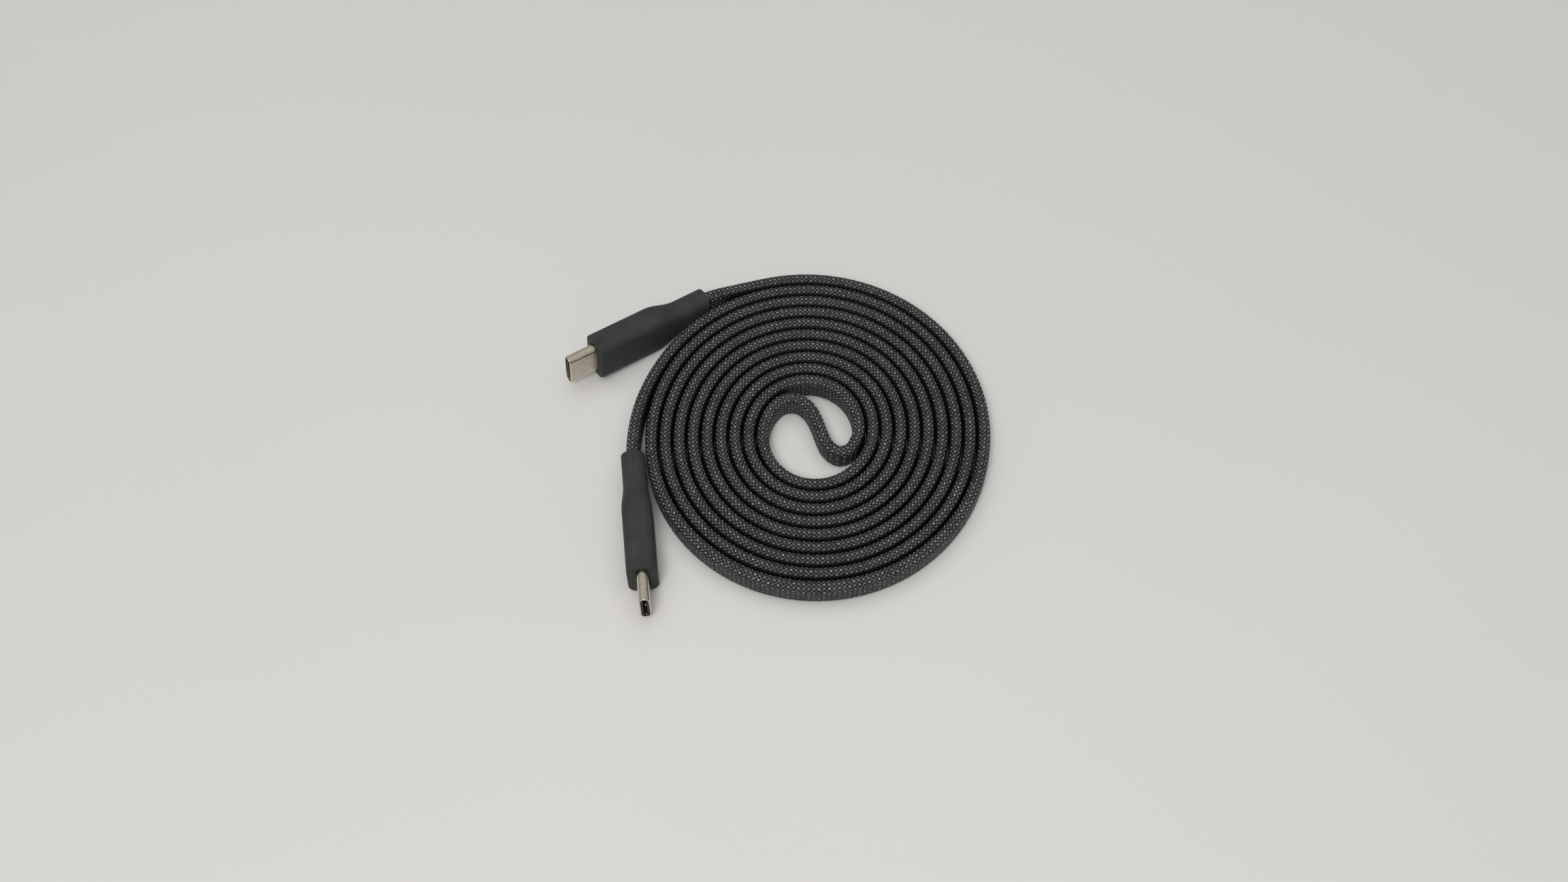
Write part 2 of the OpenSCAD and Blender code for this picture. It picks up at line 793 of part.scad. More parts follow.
// The cord's own end inside the relief: sleeved up to the ferrule, then its bare jacket
module cord_end() {
    color([0.12, 0.12, 0.13]) {
        along_x(-overmold_len, ferrule_back - fit) stadium(cord_t, cord_h);
        along_x(ferrule_back - 2 * fit, jacket_end) stadium(jacket_t, jacket_h);
    }
}

module ferrule() {
    color([0.76, 0.72, 0.6])
    along_x(ferrule_back, ferrule_front)
    difference() {
        stadium(ferrule_t, ferrule_h);
        stadium(jacket_t + 2 * fit, jacket_h + 2 * fit);
    }
}

// ---- Shield can and inner mould ----

// Closed box with an opening for the shell in front and a gate for the wires behind
module can() {
    difference() {
        along_x(can_back, can_front) rounded_rect(can_t, can_h, can_corner);
        along_x(can_back + can_wall, can_front - can_wall)
            rounded_rect(can_t - 2 * can_wall, can_h - 2 * can_wall, can_corner - can_wall);
        along_x(can_front - can_wall - eps, can_front + eps)
            stadium(shell_t + 2 * fit, shell_w + 2 * fit);
        along_x(can_back - eps, can_back + can_wall + eps)
            square([gate_t, gate_h], center = true);
    }
}

// The can's upper half, which stops just short of the middle plane
module can_upper() {
    color([0.74, 0.74, 0.72])
    intersection() {
        can();
        span([can_back - 1, fit / 2, -can_h], [can_front + 1, can_t, can_h]);
    }
}

module can_lower() {
    mirror([0, 1, 0]) can_upper();
}

module inner_mould() {
    color([0.85, 0.85, 0.82])
    difference() {
        along_x(block_back, block_front) rounded_rect(block_t, block_h, block_corner);
        along_x(can_back - fit, can_front + fit)
            rounded_rect(can_t + 2 * fit, can_h + 2 * fit, can_corner + fit);
        along_x(can_front, block_front + eps) stadium(shell_t + 2 * fit, shell_w + 2 * fit);
        along_x(block_back - eps, can_back) stadium(ferrule_t + 2 * fit, ferrule_h + 2 * fit);
    }
}

cord_coil();
cord_lead_a();
cord_lead_b();
at_plug(plug_a) overmold();  // plug_a_overmold
at_plug(plug_a) shell();  // plug_a_shell
at_plug(plug_a) insulator();  // plug_a_insulator
at_plug(plug_a) upper_contacts();  // plug_a_upper_contacts
at_plug(plug_a) lower_contacts();  // plug_a_lower_contacts
at_plug(plug_a) side_latch();  // plug_a_side_latch
at_plug(plug_a) ground_springs();  // plug_a_ground_springs
at_plug(plug_a) board();  // plug_a_board
at_plug(plug_a) marker_chip();  // plug_a_marker_chip
at_plug(plug_a) plug_a_passives();
at_plug(plug_a) solder();  // plug_a_solder
at_plug(plug_a) wire_cores();  // plug_a_wire_cores
at_plug(plug_a) wires();  // plug_a_wires
at_plug(plug_a) cord_end();  // plug_a_cord_end
at_plug(plug_a) ferrule();  // plug_a_ferrule
at_plug(plug_a) can_upper();  // plug_a_can_upper
at_plug(plug_a) can_lower();  // plug_a_can_lower
at_plug(plug_a) inner_mould();  // plug_a_inner_mould
at_plug(plug_b) overmold();  // plug_b_overmold
at_plug(plug_b) shell();  // plug_b_shell
at_plug(plug_b) insulator();  // plug_b_insulator
at_plug(plug_b) upper_contacts();  // plug_b_upper_contacts
at_plug(plug_b) lower_contacts();  // plug_b_lower_contacts
at_plug(plug_b) side_latch();  // plug_b_side_latch
at_plug(plug_b) ground_springs();  // plug_b_ground_springs
at_plug(plug_b) board();  // plug_b_board
at_plug(plug_b) plug_b_passives();
at_plug(plug_b) solder();  // plug_b_solder
at_plug(plug_b) wire_cores();  // plug_b_wire_cores
at_plug(plug_b) wires();  // plug_b_wires
at_plug(plug_b) cord_end();  // plug_b_cord_end
at_plug(plug_b) ferrule();  // plug_b_ferrule
at_plug(plug_b) can_upper();  // plug_b_can_upper
at_plug(plug_b) can_lower();  // plug_b_can_lower
at_plug(plug_b) inner_mould();  // plug_b_inner_mould
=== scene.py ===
import math
import bmesh
import bpy
import numpy as np
from mathutils import Matrix, Vector


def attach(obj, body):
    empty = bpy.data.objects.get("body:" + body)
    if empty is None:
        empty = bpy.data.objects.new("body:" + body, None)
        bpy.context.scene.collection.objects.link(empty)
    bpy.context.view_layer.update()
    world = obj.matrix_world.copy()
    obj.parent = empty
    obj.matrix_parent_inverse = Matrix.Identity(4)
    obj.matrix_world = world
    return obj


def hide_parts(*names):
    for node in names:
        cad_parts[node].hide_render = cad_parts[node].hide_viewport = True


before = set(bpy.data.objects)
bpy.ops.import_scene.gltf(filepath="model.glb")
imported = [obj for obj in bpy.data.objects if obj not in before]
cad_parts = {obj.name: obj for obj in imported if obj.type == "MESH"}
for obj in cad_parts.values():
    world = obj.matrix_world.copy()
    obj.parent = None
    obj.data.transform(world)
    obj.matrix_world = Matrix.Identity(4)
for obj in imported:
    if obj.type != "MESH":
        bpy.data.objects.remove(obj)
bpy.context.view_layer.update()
scene = bpy.context.scene
print("frame loaded:", len(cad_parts), "nodes")

sharpFrom = 40      # degrees; faces that meet at more keep a sharp edge


def linearTone(red, green, blue):
    # screen values from 0 to 255, as the shader's linear colour
    def one(value):
        value /= 255
        return value / 12.92 if value <= 0.04045 else ((value + 0.055) / 1.055) ** 2.4
    return (one(red), one(green), one(blue), 1.0)


def linkObject(name, mesh):
    piece = bpy.data.objects.new(name, mesh)
    scene.collection.objects.link(piece)
    return piece


def finishMesh(bm, name, placing):
    # places and smooths a bmesh, and hands back its object
    bm.transform(placing)
    mesh = bpy.data.meshes.new(name)
    bm.to_mesh(mesh)
    bm.free()
    mesh.shade_smooth()
    mesh.set_sharp_from_angle(angle=math.radians(sharpFrom))
    return linkObject(name, mesh)


def ease(share):
    return share * share * (3 - 2 * share)


cameraView = {
    "place": (-0.00599, -0.1976, 0.34337),
    "lookDown": 60,      # degrees below the horizon
    "lens": 40.5,
    "sensorWidth": 36,
    "clip": (0.01, 20),
}


def addCamera():
    s = cameraView
    data = bpy.data.cameras.new("camera")
    data.lens = s["lens"]
    data.sensor_width = s["sensorWidth"]
    data.clip_start, data.clip_end = s["clip"]
    camera = bpy.data.objects.new("camera", data)
    camera.location = s["place"]
    camera.rotation_euler = (math.radians(90 - s["lookDown"]), 0, 0)
    scene.collection.objects.link(camera)
    scene.camera = camera


addCamera()
print("camera placed")


# where the cord and the plugs lie, in the same sizes as the solids

coilShape = {
    "eyeRadius": 0.0128,     # where the two strands begin, halfway between them
    "turnPitch": 0.00308,
    "turns": 4,
    "ovalDepth": 0.00056,
    "startAngleA": -225,
    "startAngleB": 0,
    "leaveAngleA": 105,
    "leaveAngleB": 150,
    "stepAngle": 5,
    # middle line of the S between the two strands' inner ends
    "eyeRoute": [
        (-0.0054, 0.0085), (-0.003, 0.0084), (-0.0005, 0.0065), (0.0012, 0.0032), (0.0024, -0.0004),
        (0.0039, -0.0036), (0.0062, -0.0052), (0.0087, -0.0043), (0.01, -0.0022),
    ],
    # free stretches: polar angle, distance outside the spiral, height over the coil's
    "leadA": [(120, 0.0009, 0.00065), (115, 0.0004, 0.0003), (110, 0.0001, 0.0001)],
    "leadB": [(160, 0.0001, 0.0002), (170, 0.0003, 0.0008), (180, 0.0006, 0.0015)],
    "insideKeys": (0, 0.00275, 0.0055, 0.00825),     # inside a plug, back from its ferrule
}

plugPlace = {
    "a": {"tailAngle": 125.1, "strand": 0.5, "heading": 214, "nose": 5.5, "lean": 3, "tuck": 0},
    "b": {
        "tailAngle": 190.3, "strand": -0.5, "heading": 276.4, "nose": 1, "lean": 0,
        "tuck": 0.00025,
    },
}

cordShape = {
    "solidThickness": 0.00255,
    "thickness": 0.003,      # over the weave's crowns
    "height": 0.0065,
    "fineSteps": 12,         # points between two keys, before they are evened out
    "smoothing": 0.0012,     # how far along the cord small kinks are smoothed
    "leanFade": 0.012,       # how soon the cord stands upright after plug A's tail
    "jacketInset": 0.00024,  # from the crowns in to the jacket under the sleeve
    "jacketStep": 0.0012,
    "jacketSides": 20,
}

overmoldShape = {
    "bodyLength": 0.015,
    "bodyHeight": 0.011,
    "bodyThickness": 0.0066,
    "bodyCorner": 0.0022,
    "blendLength": 0.007,
    "neckLength": 0.0075,
    "neckHeight": 0.0086,
    "neckThickness": 0.0053,
    "neckCorner": 0.0024,
    "frontRound": 0.00035,
    "tailRound": 0.0003,
    "pocketDepth": 0.0004,
    "pocketGap": (0.00012, 0.00024),     # beside the shell's flats, and at its ends
    "pocketRound": 0.0001,
    "frontWall": 0.0014,
    "sideWall": 0.0006,
    "cavityBack": -0.0142,
    "ferruleBack": -0.01845,
    "ferruleThickness": 0.00275,
    "ferruleHeight": 0.0067,
    "fit": 0.00005,          # clearance all round what lies in a bore
    "cornerSteps": 9,
    "blendSteps": 16,
    "roundSteps": 5,
    "pocketSteps": 3,
    "partingRise": 0.000025, # the fine ridge where the mould's halves met
    "partingHalf": 0.00008,
    "draft": 0.00006,        # the narrow sides fall away this much from the ridge
    "hold": 0.00015,         # points this far from a corner keep the flats flat
    "holdBand": 0.0002,      # and a narrow band does the same on the end faces
    "pocketFoot": 0.00005,   # small bevels at the pocket's floor and the bore's mouth
    "boreMouth": 0.0001,
    "stadiumFlat": 0.00001,  # half the flat that is left between two round corners
}
overmoldLength = sum(overmoldShape[k] for k in ("bodyLength", "blendLength", "neckLength"))


def spiralPoint(strand, angle, out=0.0, lift=0.0):
    s = coilShape
    radius = s["eyeRadius"] + s["turnPitch"] * (strand + angle / 180)
    radius += out - s["ovalDepth"] * math.cos(math.radians(2 * angle))
    turn = math.radians(angle)
    up = cordShape["height"] / 2 + lift
    return Vector((radius * math.cos(turn), radius * math.sin(turn), up))


def tailHeight(nose, lean):
    # the plug lies on its tail or on its body, whichever is lower
    s = overmoldShape
    nose, lean = math.radians(nose), math.radians(lean)

    def reach(thickness, height, corner):
        upright = (height / 2 - corner) * math.cos(lean)
        return upright + (thickness / 2 - corner) * abs(math.sin(lean)) + corner
    tail = reach(s["neckThickness"], s["neckHeight"], s["neckCorner"]) * math.cos(nose)
    body = reach(s["bodyThickness"], s["bodyHeight"], s["bodyCorner"]) * math.cos(nose)
    return max(tail, body - (s["neckLength"] + s["blendLength"]) * math.sin(nose))


def plugMatrix(place):
    # +X runs to the tip from the middle of the overmold's front face, Z is the plug's width
    end = spiralPoint(place["strand"], 360 * coilShape["turns"] + place["tailAngle"])
    out = (overmoldShape["neckThickness"] - cordShape["solidThickness"]) / 2 - place["tuck"]
    radius = end.xy.length + out
    turn = math.radians(place["tailAngle"])
    up = tailHeight(place["nose"], place["lean"])
    return (
        Matrix.Translation((radius * math.cos(turn), radius * math.sin(turn), up))
        @ Matrix.Rotation(math.radians(place["heading"]), 4, "Z")
        @ Matrix.Rotation(-math.radians(place["nose"]), 4, "Y")
        @ Matrix.Rotation(math.radians(place["lean"]), 4, "X")
        @ Matrix.Translation((overmoldLength, 0, 0))
    )


plugA = plugMatrix(plugPlace["a"])
plugB = plugMatrix(plugPlace["b"])


def cordKeys():
    # the cord's middle line from ferrule to ferrule
    s = coilShape
    lastTurn = 360 * s["turns"]
    inside = [overmoldShape["ferruleBack"] - back for back in s["insideKeys"]] + [-overmoldLength]
    keys = [plugA @ Vector((x, 0, 0)) for x in inside]
    keys += [spiralPoint(0.5, lastTurn + angle, out, up) for angle, out, up in s["leadA"]]
    angles = np.arange(lastTurn + s["leaveAngleA"], s["startAngleA"] - 1, -s["stepAngle"])
    keys += [spiralPoint(0.5, angle) for angle in angles]
    keys += [Vector((x, y, cordShape["height"] / 2)) for x, y in s["eyeRoute"]]
    angles = np.arange(s["startAngleB"], lastTurn + s["leaveAngleB"] + 1, s["stepAngle"])
    keys += [spiralPoint(-0.5, angle) for angle in angles]
    keys += [spiralPoint(-0.5, lastTurn + angle, out, up) for angle, out, up in s["leadB"]]
    keys += [plugB @ Vector((x, 0, 0)) for x in reversed(inside)]
    return np.array([tuple(key) for key in keys])


def smoothLine(keys, step):
    # one smooth curve through all the keys, then points evenly spaced along it
    gaps = np.linalg.norm(np.diff(keys, axis=0), axis=1)
    slopes = np.diff(keys, axis=0) / gaps[:, None]
    tangents = np.empty_like(keys)
    share = (gaps[:-1] / (gaps[:-1] + gaps[1:]))[:, None]
    tangents[1:-1] = slopes[:-1] * (1 - share) + slopes[1:] * share
    tangents[0], tangents[-1] = slopes[0], slopes[-1]
    t = np.linspace(0, 1, cordShape["fineSteps"], endpoint=False)[None, :, None]
    a, b = keys[:-1, None], keys[1:, None]
    da, db = (tangents[:-1] * gaps[:, None])[:, None], (tangents[1:] * gaps[:, None])[:, None]
    fine = (
        (2 * t**3 - 3 * t**2 + 1) * a + (t**3 - 2 * t**2 + t) * da
        + (3 * t**2 - 2 * t**3) * b + (t**3 - t**2) * db
    ).reshape(-1, 3)
    fine = np.vstack([fine, keys[-1]])
    along = np.concatenate([[0], np.cumsum(np.linalg.norm(np.diff(fine, axis=0), axis=1))])
    even = np.linspace(0, along[-1], round(along[-1] / step) + 1)
    line = np.stack([np.interp(even, along, fine[:, k]) for k in range(3)], axis=1)
    # takes the last small kinks out, and leaves the ends where they are
    width = max(1, round(cordShape["smoothing"] / step))
    kernel = np.hanning(2 * width + 3)[1:-1]
    kernel /= kernel.sum()
    padded = np.vstack([
        2 * line[0] - line[width:0:-1], line, 2 * line[-1] - line[-2:-width - 2:-1]
    ])
    return np.stack([np.convolve(padded[:, k], kernel, "valid") for k in range(3)], axis=1)


def cordAxes(line, step):
    # level and upright direction at each point, leaning with plug A near its tail
    along = np.gradient(line, axis=0)
    along /= np.linalg.norm(along, axis=1)[:, None]
    level = np.cross(along, [0, 0, 1])
    level /= np.linalg.norm(level, axis=1)[:, None]
    upright = np.cross(level, along)
    inPlug = overmoldLength + overmoldShape["ferruleBack"]
    far = np.clip((np.arange(len(line)) * step - inPlug) / cordShape["leanFade"], 0, 1)
    lean = math.radians(plugPlace["a"]["lean"]) * (1 - ease(far))[:, None]
    leant = level * np.cos(lean) + upright * np.sin(lean)
    return leant, upright * np.cos(lean) - level * np.sin(lean)


def outlineLength(halfThickness, halfHeight):
    return 4 * (halfHeight - halfThickness) + 2 * math.pi * halfThickness


def stadiumPoint(arc, halfThickness, halfHeight):
    # point and outward normal at a distance along the outline, from the middle of the top
    straight = 2 * (halfHeight - halfThickness)
    quarter = math.pi * halfThickness / 2
    arc = np.mod(arc, 4 * quarter + 2 * straight)
    mirrored = arc > 2 * quarter + straight
    arc = np.where(mirrored, 4 * quarter + 2 * straight - arc, arc)
    top = np.clip(arc, 0, quarter) / halfThickness
    low = np.clip(arc - quarter - straight, 0, quarter) / halfThickness
    turn = top + low
    wall = np.clip(arc - quarter, 0, straight)
    nLevel, nUp = np.sin(turn), np.cos(turn)
    level = halfThickness * nLevel
    up = (halfHeight - halfThickness) - wall + halfThickness * nUp
    side = np.where(mirrored, -1.0, 1.0)
    return level * side, up, nLevel * side, nUp


def addJacket(keys):
    # the cord's smooth jacket, under the woven sleeve
    s = cordShape
    line = smoothLine(keys, s["jacketStep"])
    level, upright = cordAxes(line, np.linalg.norm(line[1] - line[0]))
    halfT, halfH = (s[k] / 2 - s["jacketInset"] for k in ("thickness", "height"))
    sides = s["jacketSides"]
    arc = np.arange(sides) / sides * outlineLength(halfT, halfH)
    y, z = stadiumPoint(arc, halfT, halfH)[:2]
    points = line[:, None] + y[None, :, None] * level[:, None] + z[None, :, None] * upright[:, None]
    ring, side = np.meshgrid(np.arange(len(line) - 1), np.arange(sides), indexing="ij")
    after = (side + 1) % sides
    quads = np.stack([
        ring * sides + side, ring * sides + after,
        (ring + 1) * sides + after, (ring + 1) * sides + side,
    ], axis=-1).reshape(-1, 4)
    last = (len(line) - 1) * sides
    caps = [list(reversed(range(sides))), [last + k for k in range(sides)]]
    mesh = bpy.data.meshes.new("cordJacket")
    mesh.from_pydata(points.reshape(-1, 3).tolist(), [], quads.tolist() + caps)
    mesh.shade_smooth()
    return linkObject("cordJacket", mesh), line


braidWeave = {
    "repeat": 0.00212,       # from one light crown to the next along the cord
    "strands": 16,           # in each direction
    "samples": 6,            # grid steps from one strand to the next
    "crownRise": 0.00012,    # a light crown over the sleeve's middle surface
    "floatRise": 0.00006,
    "dip": 0.0002,           # how deep a strand dives under another
    "edgeDrop": 0.00013,     # a strand's edge below its own middle
    "pieces": 5,
    "seed": 7,
    "dimCrownHighlight": 0.42,        # painted highlight: how light a dark crossing's crown is painted against a light one
    # the keys from here to the crevice depths set where painted shade darkens the crevices between
    # two turns
    "touching": 0.0033,      # middle lines this close lie side by side
    "apart": 0.0045,
    "lookEvery": 5,          # rows between the places where neighbours are looked for
    "lookAhead": 0.001,
    "leastAside": 0.001,
    "ownReach": 0.008,       # closer along the cord is the turn itself
    "blocks": 10,            # the search goes block by block, to keep it small
    "paintedShadeDepth": (0.0, 0.0008),       # below the top, where the painted shade in a crevice begins and is full
    "shadeRun": 4,           # crossings after which a strand's shade changes
    "shadeMix": (12.9898, 78.233, 43758.5453),
    "secondSet": 300,        # sets the yarns of the second direction apart
}


def strandIsOver(a, b):
    # true where the strand that runs one way lies over the one that runs the other way:
    # dark strands float over three and under one, light ones show at one crossing in four
    same = (a % 2) == (b % 2)
    return np.where(same, ((a + b) // 2) % 2 == 0, a % 2 == 1)


def floatLevel(strand, across, first):
    # 1 where the strand lies on top and 0 where it dives, smooth between its crossings
    low = np.floor(across).astype(int)
    part = ease(across - low)

    def over(crossing):
        if first:
            return strandIsOver(strand, crossing).astype(float)
        return 1.0 - strandIsOver(crossing, strand)
    return over(low) * (1 - part) + over(low + 1) * part


def strandSurface(own, across, first):
    # height of one set of strands where own counts across them and across counts along them
    s = braidWeave
    best = None
    for strand in (np.floor(own + 0.5), np.ceil(own - 0.5)):
        strand = strand.astype(int)
        level = floatLevel(strand, across, first)
        rise = np.where(strand % 2 == 0, s["crownRise"], s["floatRise"])
        height = level * rise - (1 - level) * s["dip"]
        height -= s["edgeDrop"] * (2 * (own - strand)) ** 2
        best = height if best is None else np.maximum(best, height)
    return best


def neighbourShare(line, level, step):
    # for each point and each side of it, how closely another turn lies there, from 0 to 1; this
    # weights the painted shade in the crevice between the turns
    s = braidWeave
    along = np.gradient(line, axis=0) / step
    others = line[::s["lookEvery"]]
    place = np.arange(len(others)) * s["lookEvery"]
    shares = np.zeros((len(line), 2))
    for rows in np.array_split(np.arange(len(line)), s["blocks"]):
        gap = others[None] - line[rows, None]
        aside = (gap * level[rows, None]).sum(2)
        ahead = np.abs((gap * along[rows, None]).sum(2))
        own = np.abs(place[None] - rows[:, None]) * step < s["ownReach"]
        for side, sign in enumerate((1, -1)):
            missed = own | (ahead > s["lookAhead"]) | (aside * sign < s["leastAside"])
            away = np.where(missed, 1.0, aside * sign).min(axis=1)
            share = (s["apart"] - away) / (s["apart"] - s["touching"])
            shares[rows, side] = ease(np.clip(share, 0, 1))
    return shares


def crossingPlace(m, n):
    # a grid place, m along the cord and n round it, counted across both sets of strands
    samples = braidWeave["samples"]
    return (m + n + 1) / samples, (m - n + 1) / samples


def braidPoints(rows, around, line, axes, neighbours):
    # points of the woven surface, how far each stands out, and how much painted shade its crevice
    # between two turns gets
    s = braidWeave
    level, upright = axes
    m = np.repeat(rows, around // 2)
    n = 2 * np.tile(np.arange(around // 2), len(rows)) + (m % 2)
    a, b = crossingPlace(m, n)
    rise = np.maximum(strandSurface(a, b, True), strandSurface(b, a, False))
    halfT, halfH = (cordShape[k] / 2 - s["crownRise"] for k in ("thickness", "height"))
    # a row of light crowns runs along the middle of the top
    y, z, ny, nz = stadiumPoint(n / around * outlineLength(halfT, halfH), halfT, halfH)
    # painted shade in the crevice: the deeper below the top and the nearer another turn, the darker
    shallow, deep = s["paintedShadeDepth"]
    creviceShading = ease(np.clip((halfH - z - shallow) / (deep - shallow), 0, 1))
    creviceShading *= np.where(y > 0, neighbours[m, 0], neighbours[m, 1])
    aside, up = (y + rise * ny)[:, None], (z + rise * nz)[:, None]
    return line[m] + aside * level[m] + up * upright[m], rise, creviceShading


def braidFaces(rows, around, strandShade, rise, creviceShading):
    # the faces, each wholly on one strand, with their yarn coordinates and colour values, which
    # carry painted shade and a painted highlight too
    s = braidWeave
    half = around // 2
    m = np.repeat(rows[1:-1], half)
    n = 2 * np.tile(np.arange(half), len(rows) - 2) + 1 - (m % 2)
    places = [(m - 1, n), (m, n + 1), (m + 1, n), (m, n - 1)]
    quads = np.stack([(mm - rows[0]) * half + (nn % around) // 2 for mm, nn in places], axis=-1)
    strandA, strandB = (np.round(place).astype(int) for place in crossingPlace(m, n))
    over = strandIsOver(strandA, strandB)
    own, other = np.where(over, strandA, strandB), np.where(over, strandB, strandA)
    shade = np.where(over, *(strandShade[k][own % s["strands"]] for k in (0, 1)))
    byStrand, byRun, spread = s["shadeMix"]
    change = np.mod(np.sin(own * byStrand + other // s["shadeRun"] * byRun) * spread, 1)
    # the light strands' crowns, and a fainter painted highlight where two dark strands cross
    # between them
    crown = np.where(strandA % 2 == 0, 1.0, s["dimCrownHighlight"])
    uv = np.empty((len(quads), 4, 2))
    colour = np.ones((len(quads), 4, 4))
    colour[:, :, 0] = np.where(strandA % 2 == strandB % 2, crown, 0)[:, None]
    colour[:, :, 1] = (0.5 * shade + 0.5 * change)[:, None]
    for corner, place in enumerate(places):
        a, b = crossingPlace(*place)
        uv[:, corner, 0] = np.where(over, b, a)
        uv[:, corner, 1] = np.where(over, a, b + s["secondSet"])
        # painted shade: the height sets it where a strand dives, and the last value sets it in the
        # crevices between turns
        height = rise[quads[:, corner]] + s["dip"]
        colour[:, corner, 2] = height / (s["dip"] + s["crownRise"])
        colour[:, corner, 3] = 1 - creviceShading[quads[:, corner]]
    return quads, uv, colour


def sleevePiece(name, rows, around, line, axes, neighbours, strandShade):
    points, rise, creviceShading = braidPoints(rows, around, line, axes, neighbours)
    quads, uv, colour = braidFaces(rows, around, strandShade, rise, creviceShading)
    # both ends are closed with a fan round a point on the cord's middle
    total = len(points)
    points = np.vstack([points, line[rows[0]], line[rows[-1]]])
    half = around // 2
    ends = []
    for row in (0, len(rows) - 2):
        place = [row + (k + row + rows[0]) % 2 for k in range(around)]
        ends.append([place[k] * half + k // 2 for k in range(around)])
    caps = [(total, ends[0][k], ends[0][k - 1]) for k in range(around)]
    caps += [(total + 1, ends[1][k - 1], ends[1][k]) for k in range(around)]
    mesh = bpy.data.meshes.new(name)
    mesh.from_pydata(points.tolist(), [], quads.tolist() + caps)
    smooth = np.ones(len(mesh.polygons), bool)
    smooth[len(quads):] = False
    mesh.polygons.foreach_set("use_smooth", smooth)
    capCorners = 3 * len(caps)
    yarn = mesh.uv_layers.new(name="yarn")
    yarn.data.foreach_set("uv", np.concatenate([uv.ravel(), np.zeros(2 * capCorners)]))
    # colour values: light yarn or painted highlight, random shade, height for the painted shade
    # where strands dive, and painted crevice shade
    tint = mesh.color_attributes.new("yarnToneAndPaintedShade", "FLOAT_COLOR", "CORNER")
    tint.data.foreach_set("color", np.concatenate([colour.ravel(), np.zeros(4 * capCorners)]))
    return linkObject(name, mesh)


def addBraid(keys):
    s = braidWeave
    line = smoothLine(keys, s["repeat"] / (2 * s["samples"]))
    step = np.linalg.norm(line[len(line) // 2 + 1] - line[len(line) // 2])
    axes = cordAxes(line, step)
    neighbours = neighbourShare(line, axes[0], step)
    strandShade = np.random.default_rng(s["seed"]).random((2, s["strands"]))
    cuts = np.linspace(0, len(line) - 2, s["pieces"] + 1).astype(int)
    around = s["samples"] * s["strands"]
    return [
        sleevePiece(
            f"braidedSleeve{k + 1}", np.arange(cuts[k], cuts[k + 1] + 2), around, line, axes,
            neighbours, strandShade,
        )
        for k in range(s["pieces"])
    ]


keys = cordKeys()
jacket, cordLine = addJacket(keys)
sleeves = addBraid(keys)


def roundedLoop(x, thickness, height, corner, ridge=0.0):
    # points of a rounded rectangle, with three more in the middle of its top and bottom;
    # ridge runs from 0 to 1 and raises the parting line there
    s = overmoldShape
    loop = []
    draft = s["draft"] * ridge
    height -= 2 * draft
    nearRidge = draft * (1 - s["partingHalf"] / max(thickness / 2 - corner, s["partingHalf"]))
    half = min(s["partingHalf"], (thickness / 2 - corner) / 3)
    holdY = min(s["hold"], (thickness / 2 - corner) / 3)
    holdZ = min(s["hold"], (height / 2 - corner) / 3)
    for quarter in range(4):
        ySide = 1 if quarter in (0, 3) else -1
        zSide = 1 if quarter < 2 else -1
        arc = []
        for step in range(s["cornerSteps"] + 1):
            turn = math.pi / 2 * (quarter + step / s["cornerSteps"])
            y = ySide * (thickness / 2 - corner) + corner * math.cos(turn)
            z = zSide * (height / 2 - corner) + corner * math.sin(turn)
            arc.append((x, y, z))
        onFlat = (x, ySide * thickness / 2, zSide * (height / 2 - corner - holdZ))
        onEdge = (x, ySide * (thickness / 2 - corner - holdY), zSide * height / 2)
        loop += [onFlat, *arc, onEdge] if quarter in (0, 2) else [onEdge, *arc, onFlat]
        if quarter in (0, 2):
            for y in (half, 0, -half):
                rise = nearRidge if y else draft + s["partingRise"] * ridge
                loop.append((x, y * zSide, zSide * (height / 2 + rise)))
    return loop


def overmoldLoops():
    # loops over the outside, from the tail to the front
    s = overmoldShape
    tailX, front = -overmoldLength, -s["bodyLength"]
    boreT, boreH = (cordShape[k] + 2 * s["fit"] for k in ("thickness", "height"))
    band = s["holdBand"]

    def section(x, share, inset=0.0, ridge=1.0):
        # share is 1 at the neck's section and 0 at the body's
        size = [
            s["body" + k] + (s["neck" + k] - s["body" + k]) * share
            for k in ("Thickness", "Height", "Corner")
        ]
        return roundedLoop(x, size[0] - 2 * inset, size[1] - 2 * inset, size[2] - inset, ridge)

    def face(x, part, rounding):
        sizeT, sizeH = (s[part + k] - 2 * rounding - band for k in ("Thickness", "Height"))
        return roundedLoop(x, sizeT, sizeH, s[part + "Corner"] - rounding)
    loops = [
        roundedLoop(tailX, boreT + 2 * band, boreH + 2 * band, boreT / 2),
        face(tailX, "neck", s["tailRound"]),
    ]
    for k in range(s["roundSteps"] + 1):
        turn = math.pi / 2 * k / s["roundSteps"]
        x = tailX + s["tailRound"] * (1 - math.cos(turn))
        inset = s["tailRound"] * (1 - math.sin(turn))
        loops.append(section(x, 1, inset, k / s["roundSteps"]))
    for x in (tailX + s["tailRound"] + s["hold"], front - s["blendLength"] - s["hold"]):
        loops.append(section(x, 1))
    for k in range(s["blendSteps"] + 1):
        share = k / s["blendSteps"]
        loops.append(section(front - s["blendLength"] * (1 - share), 1 - ease(share)))
    for x in (front + s["hold"], -s["frontRound"] - s["hold"]):
        loops.append(section(x, 0))
    for k in range(s["roundSteps"] + 1):
        turn = math.pi / 2 * k / s["roundSteps"]
        x = -s["frontRound"] * (1 - math.sin(turn))
        inset = s["frontRound"] * (1 - math.cos(turn))
        loops.append(section(x, 0, inset, 1 - k / s["roundSteps"]))
    loops.append(face(0, "body", s["frontRound"]))
    return loops


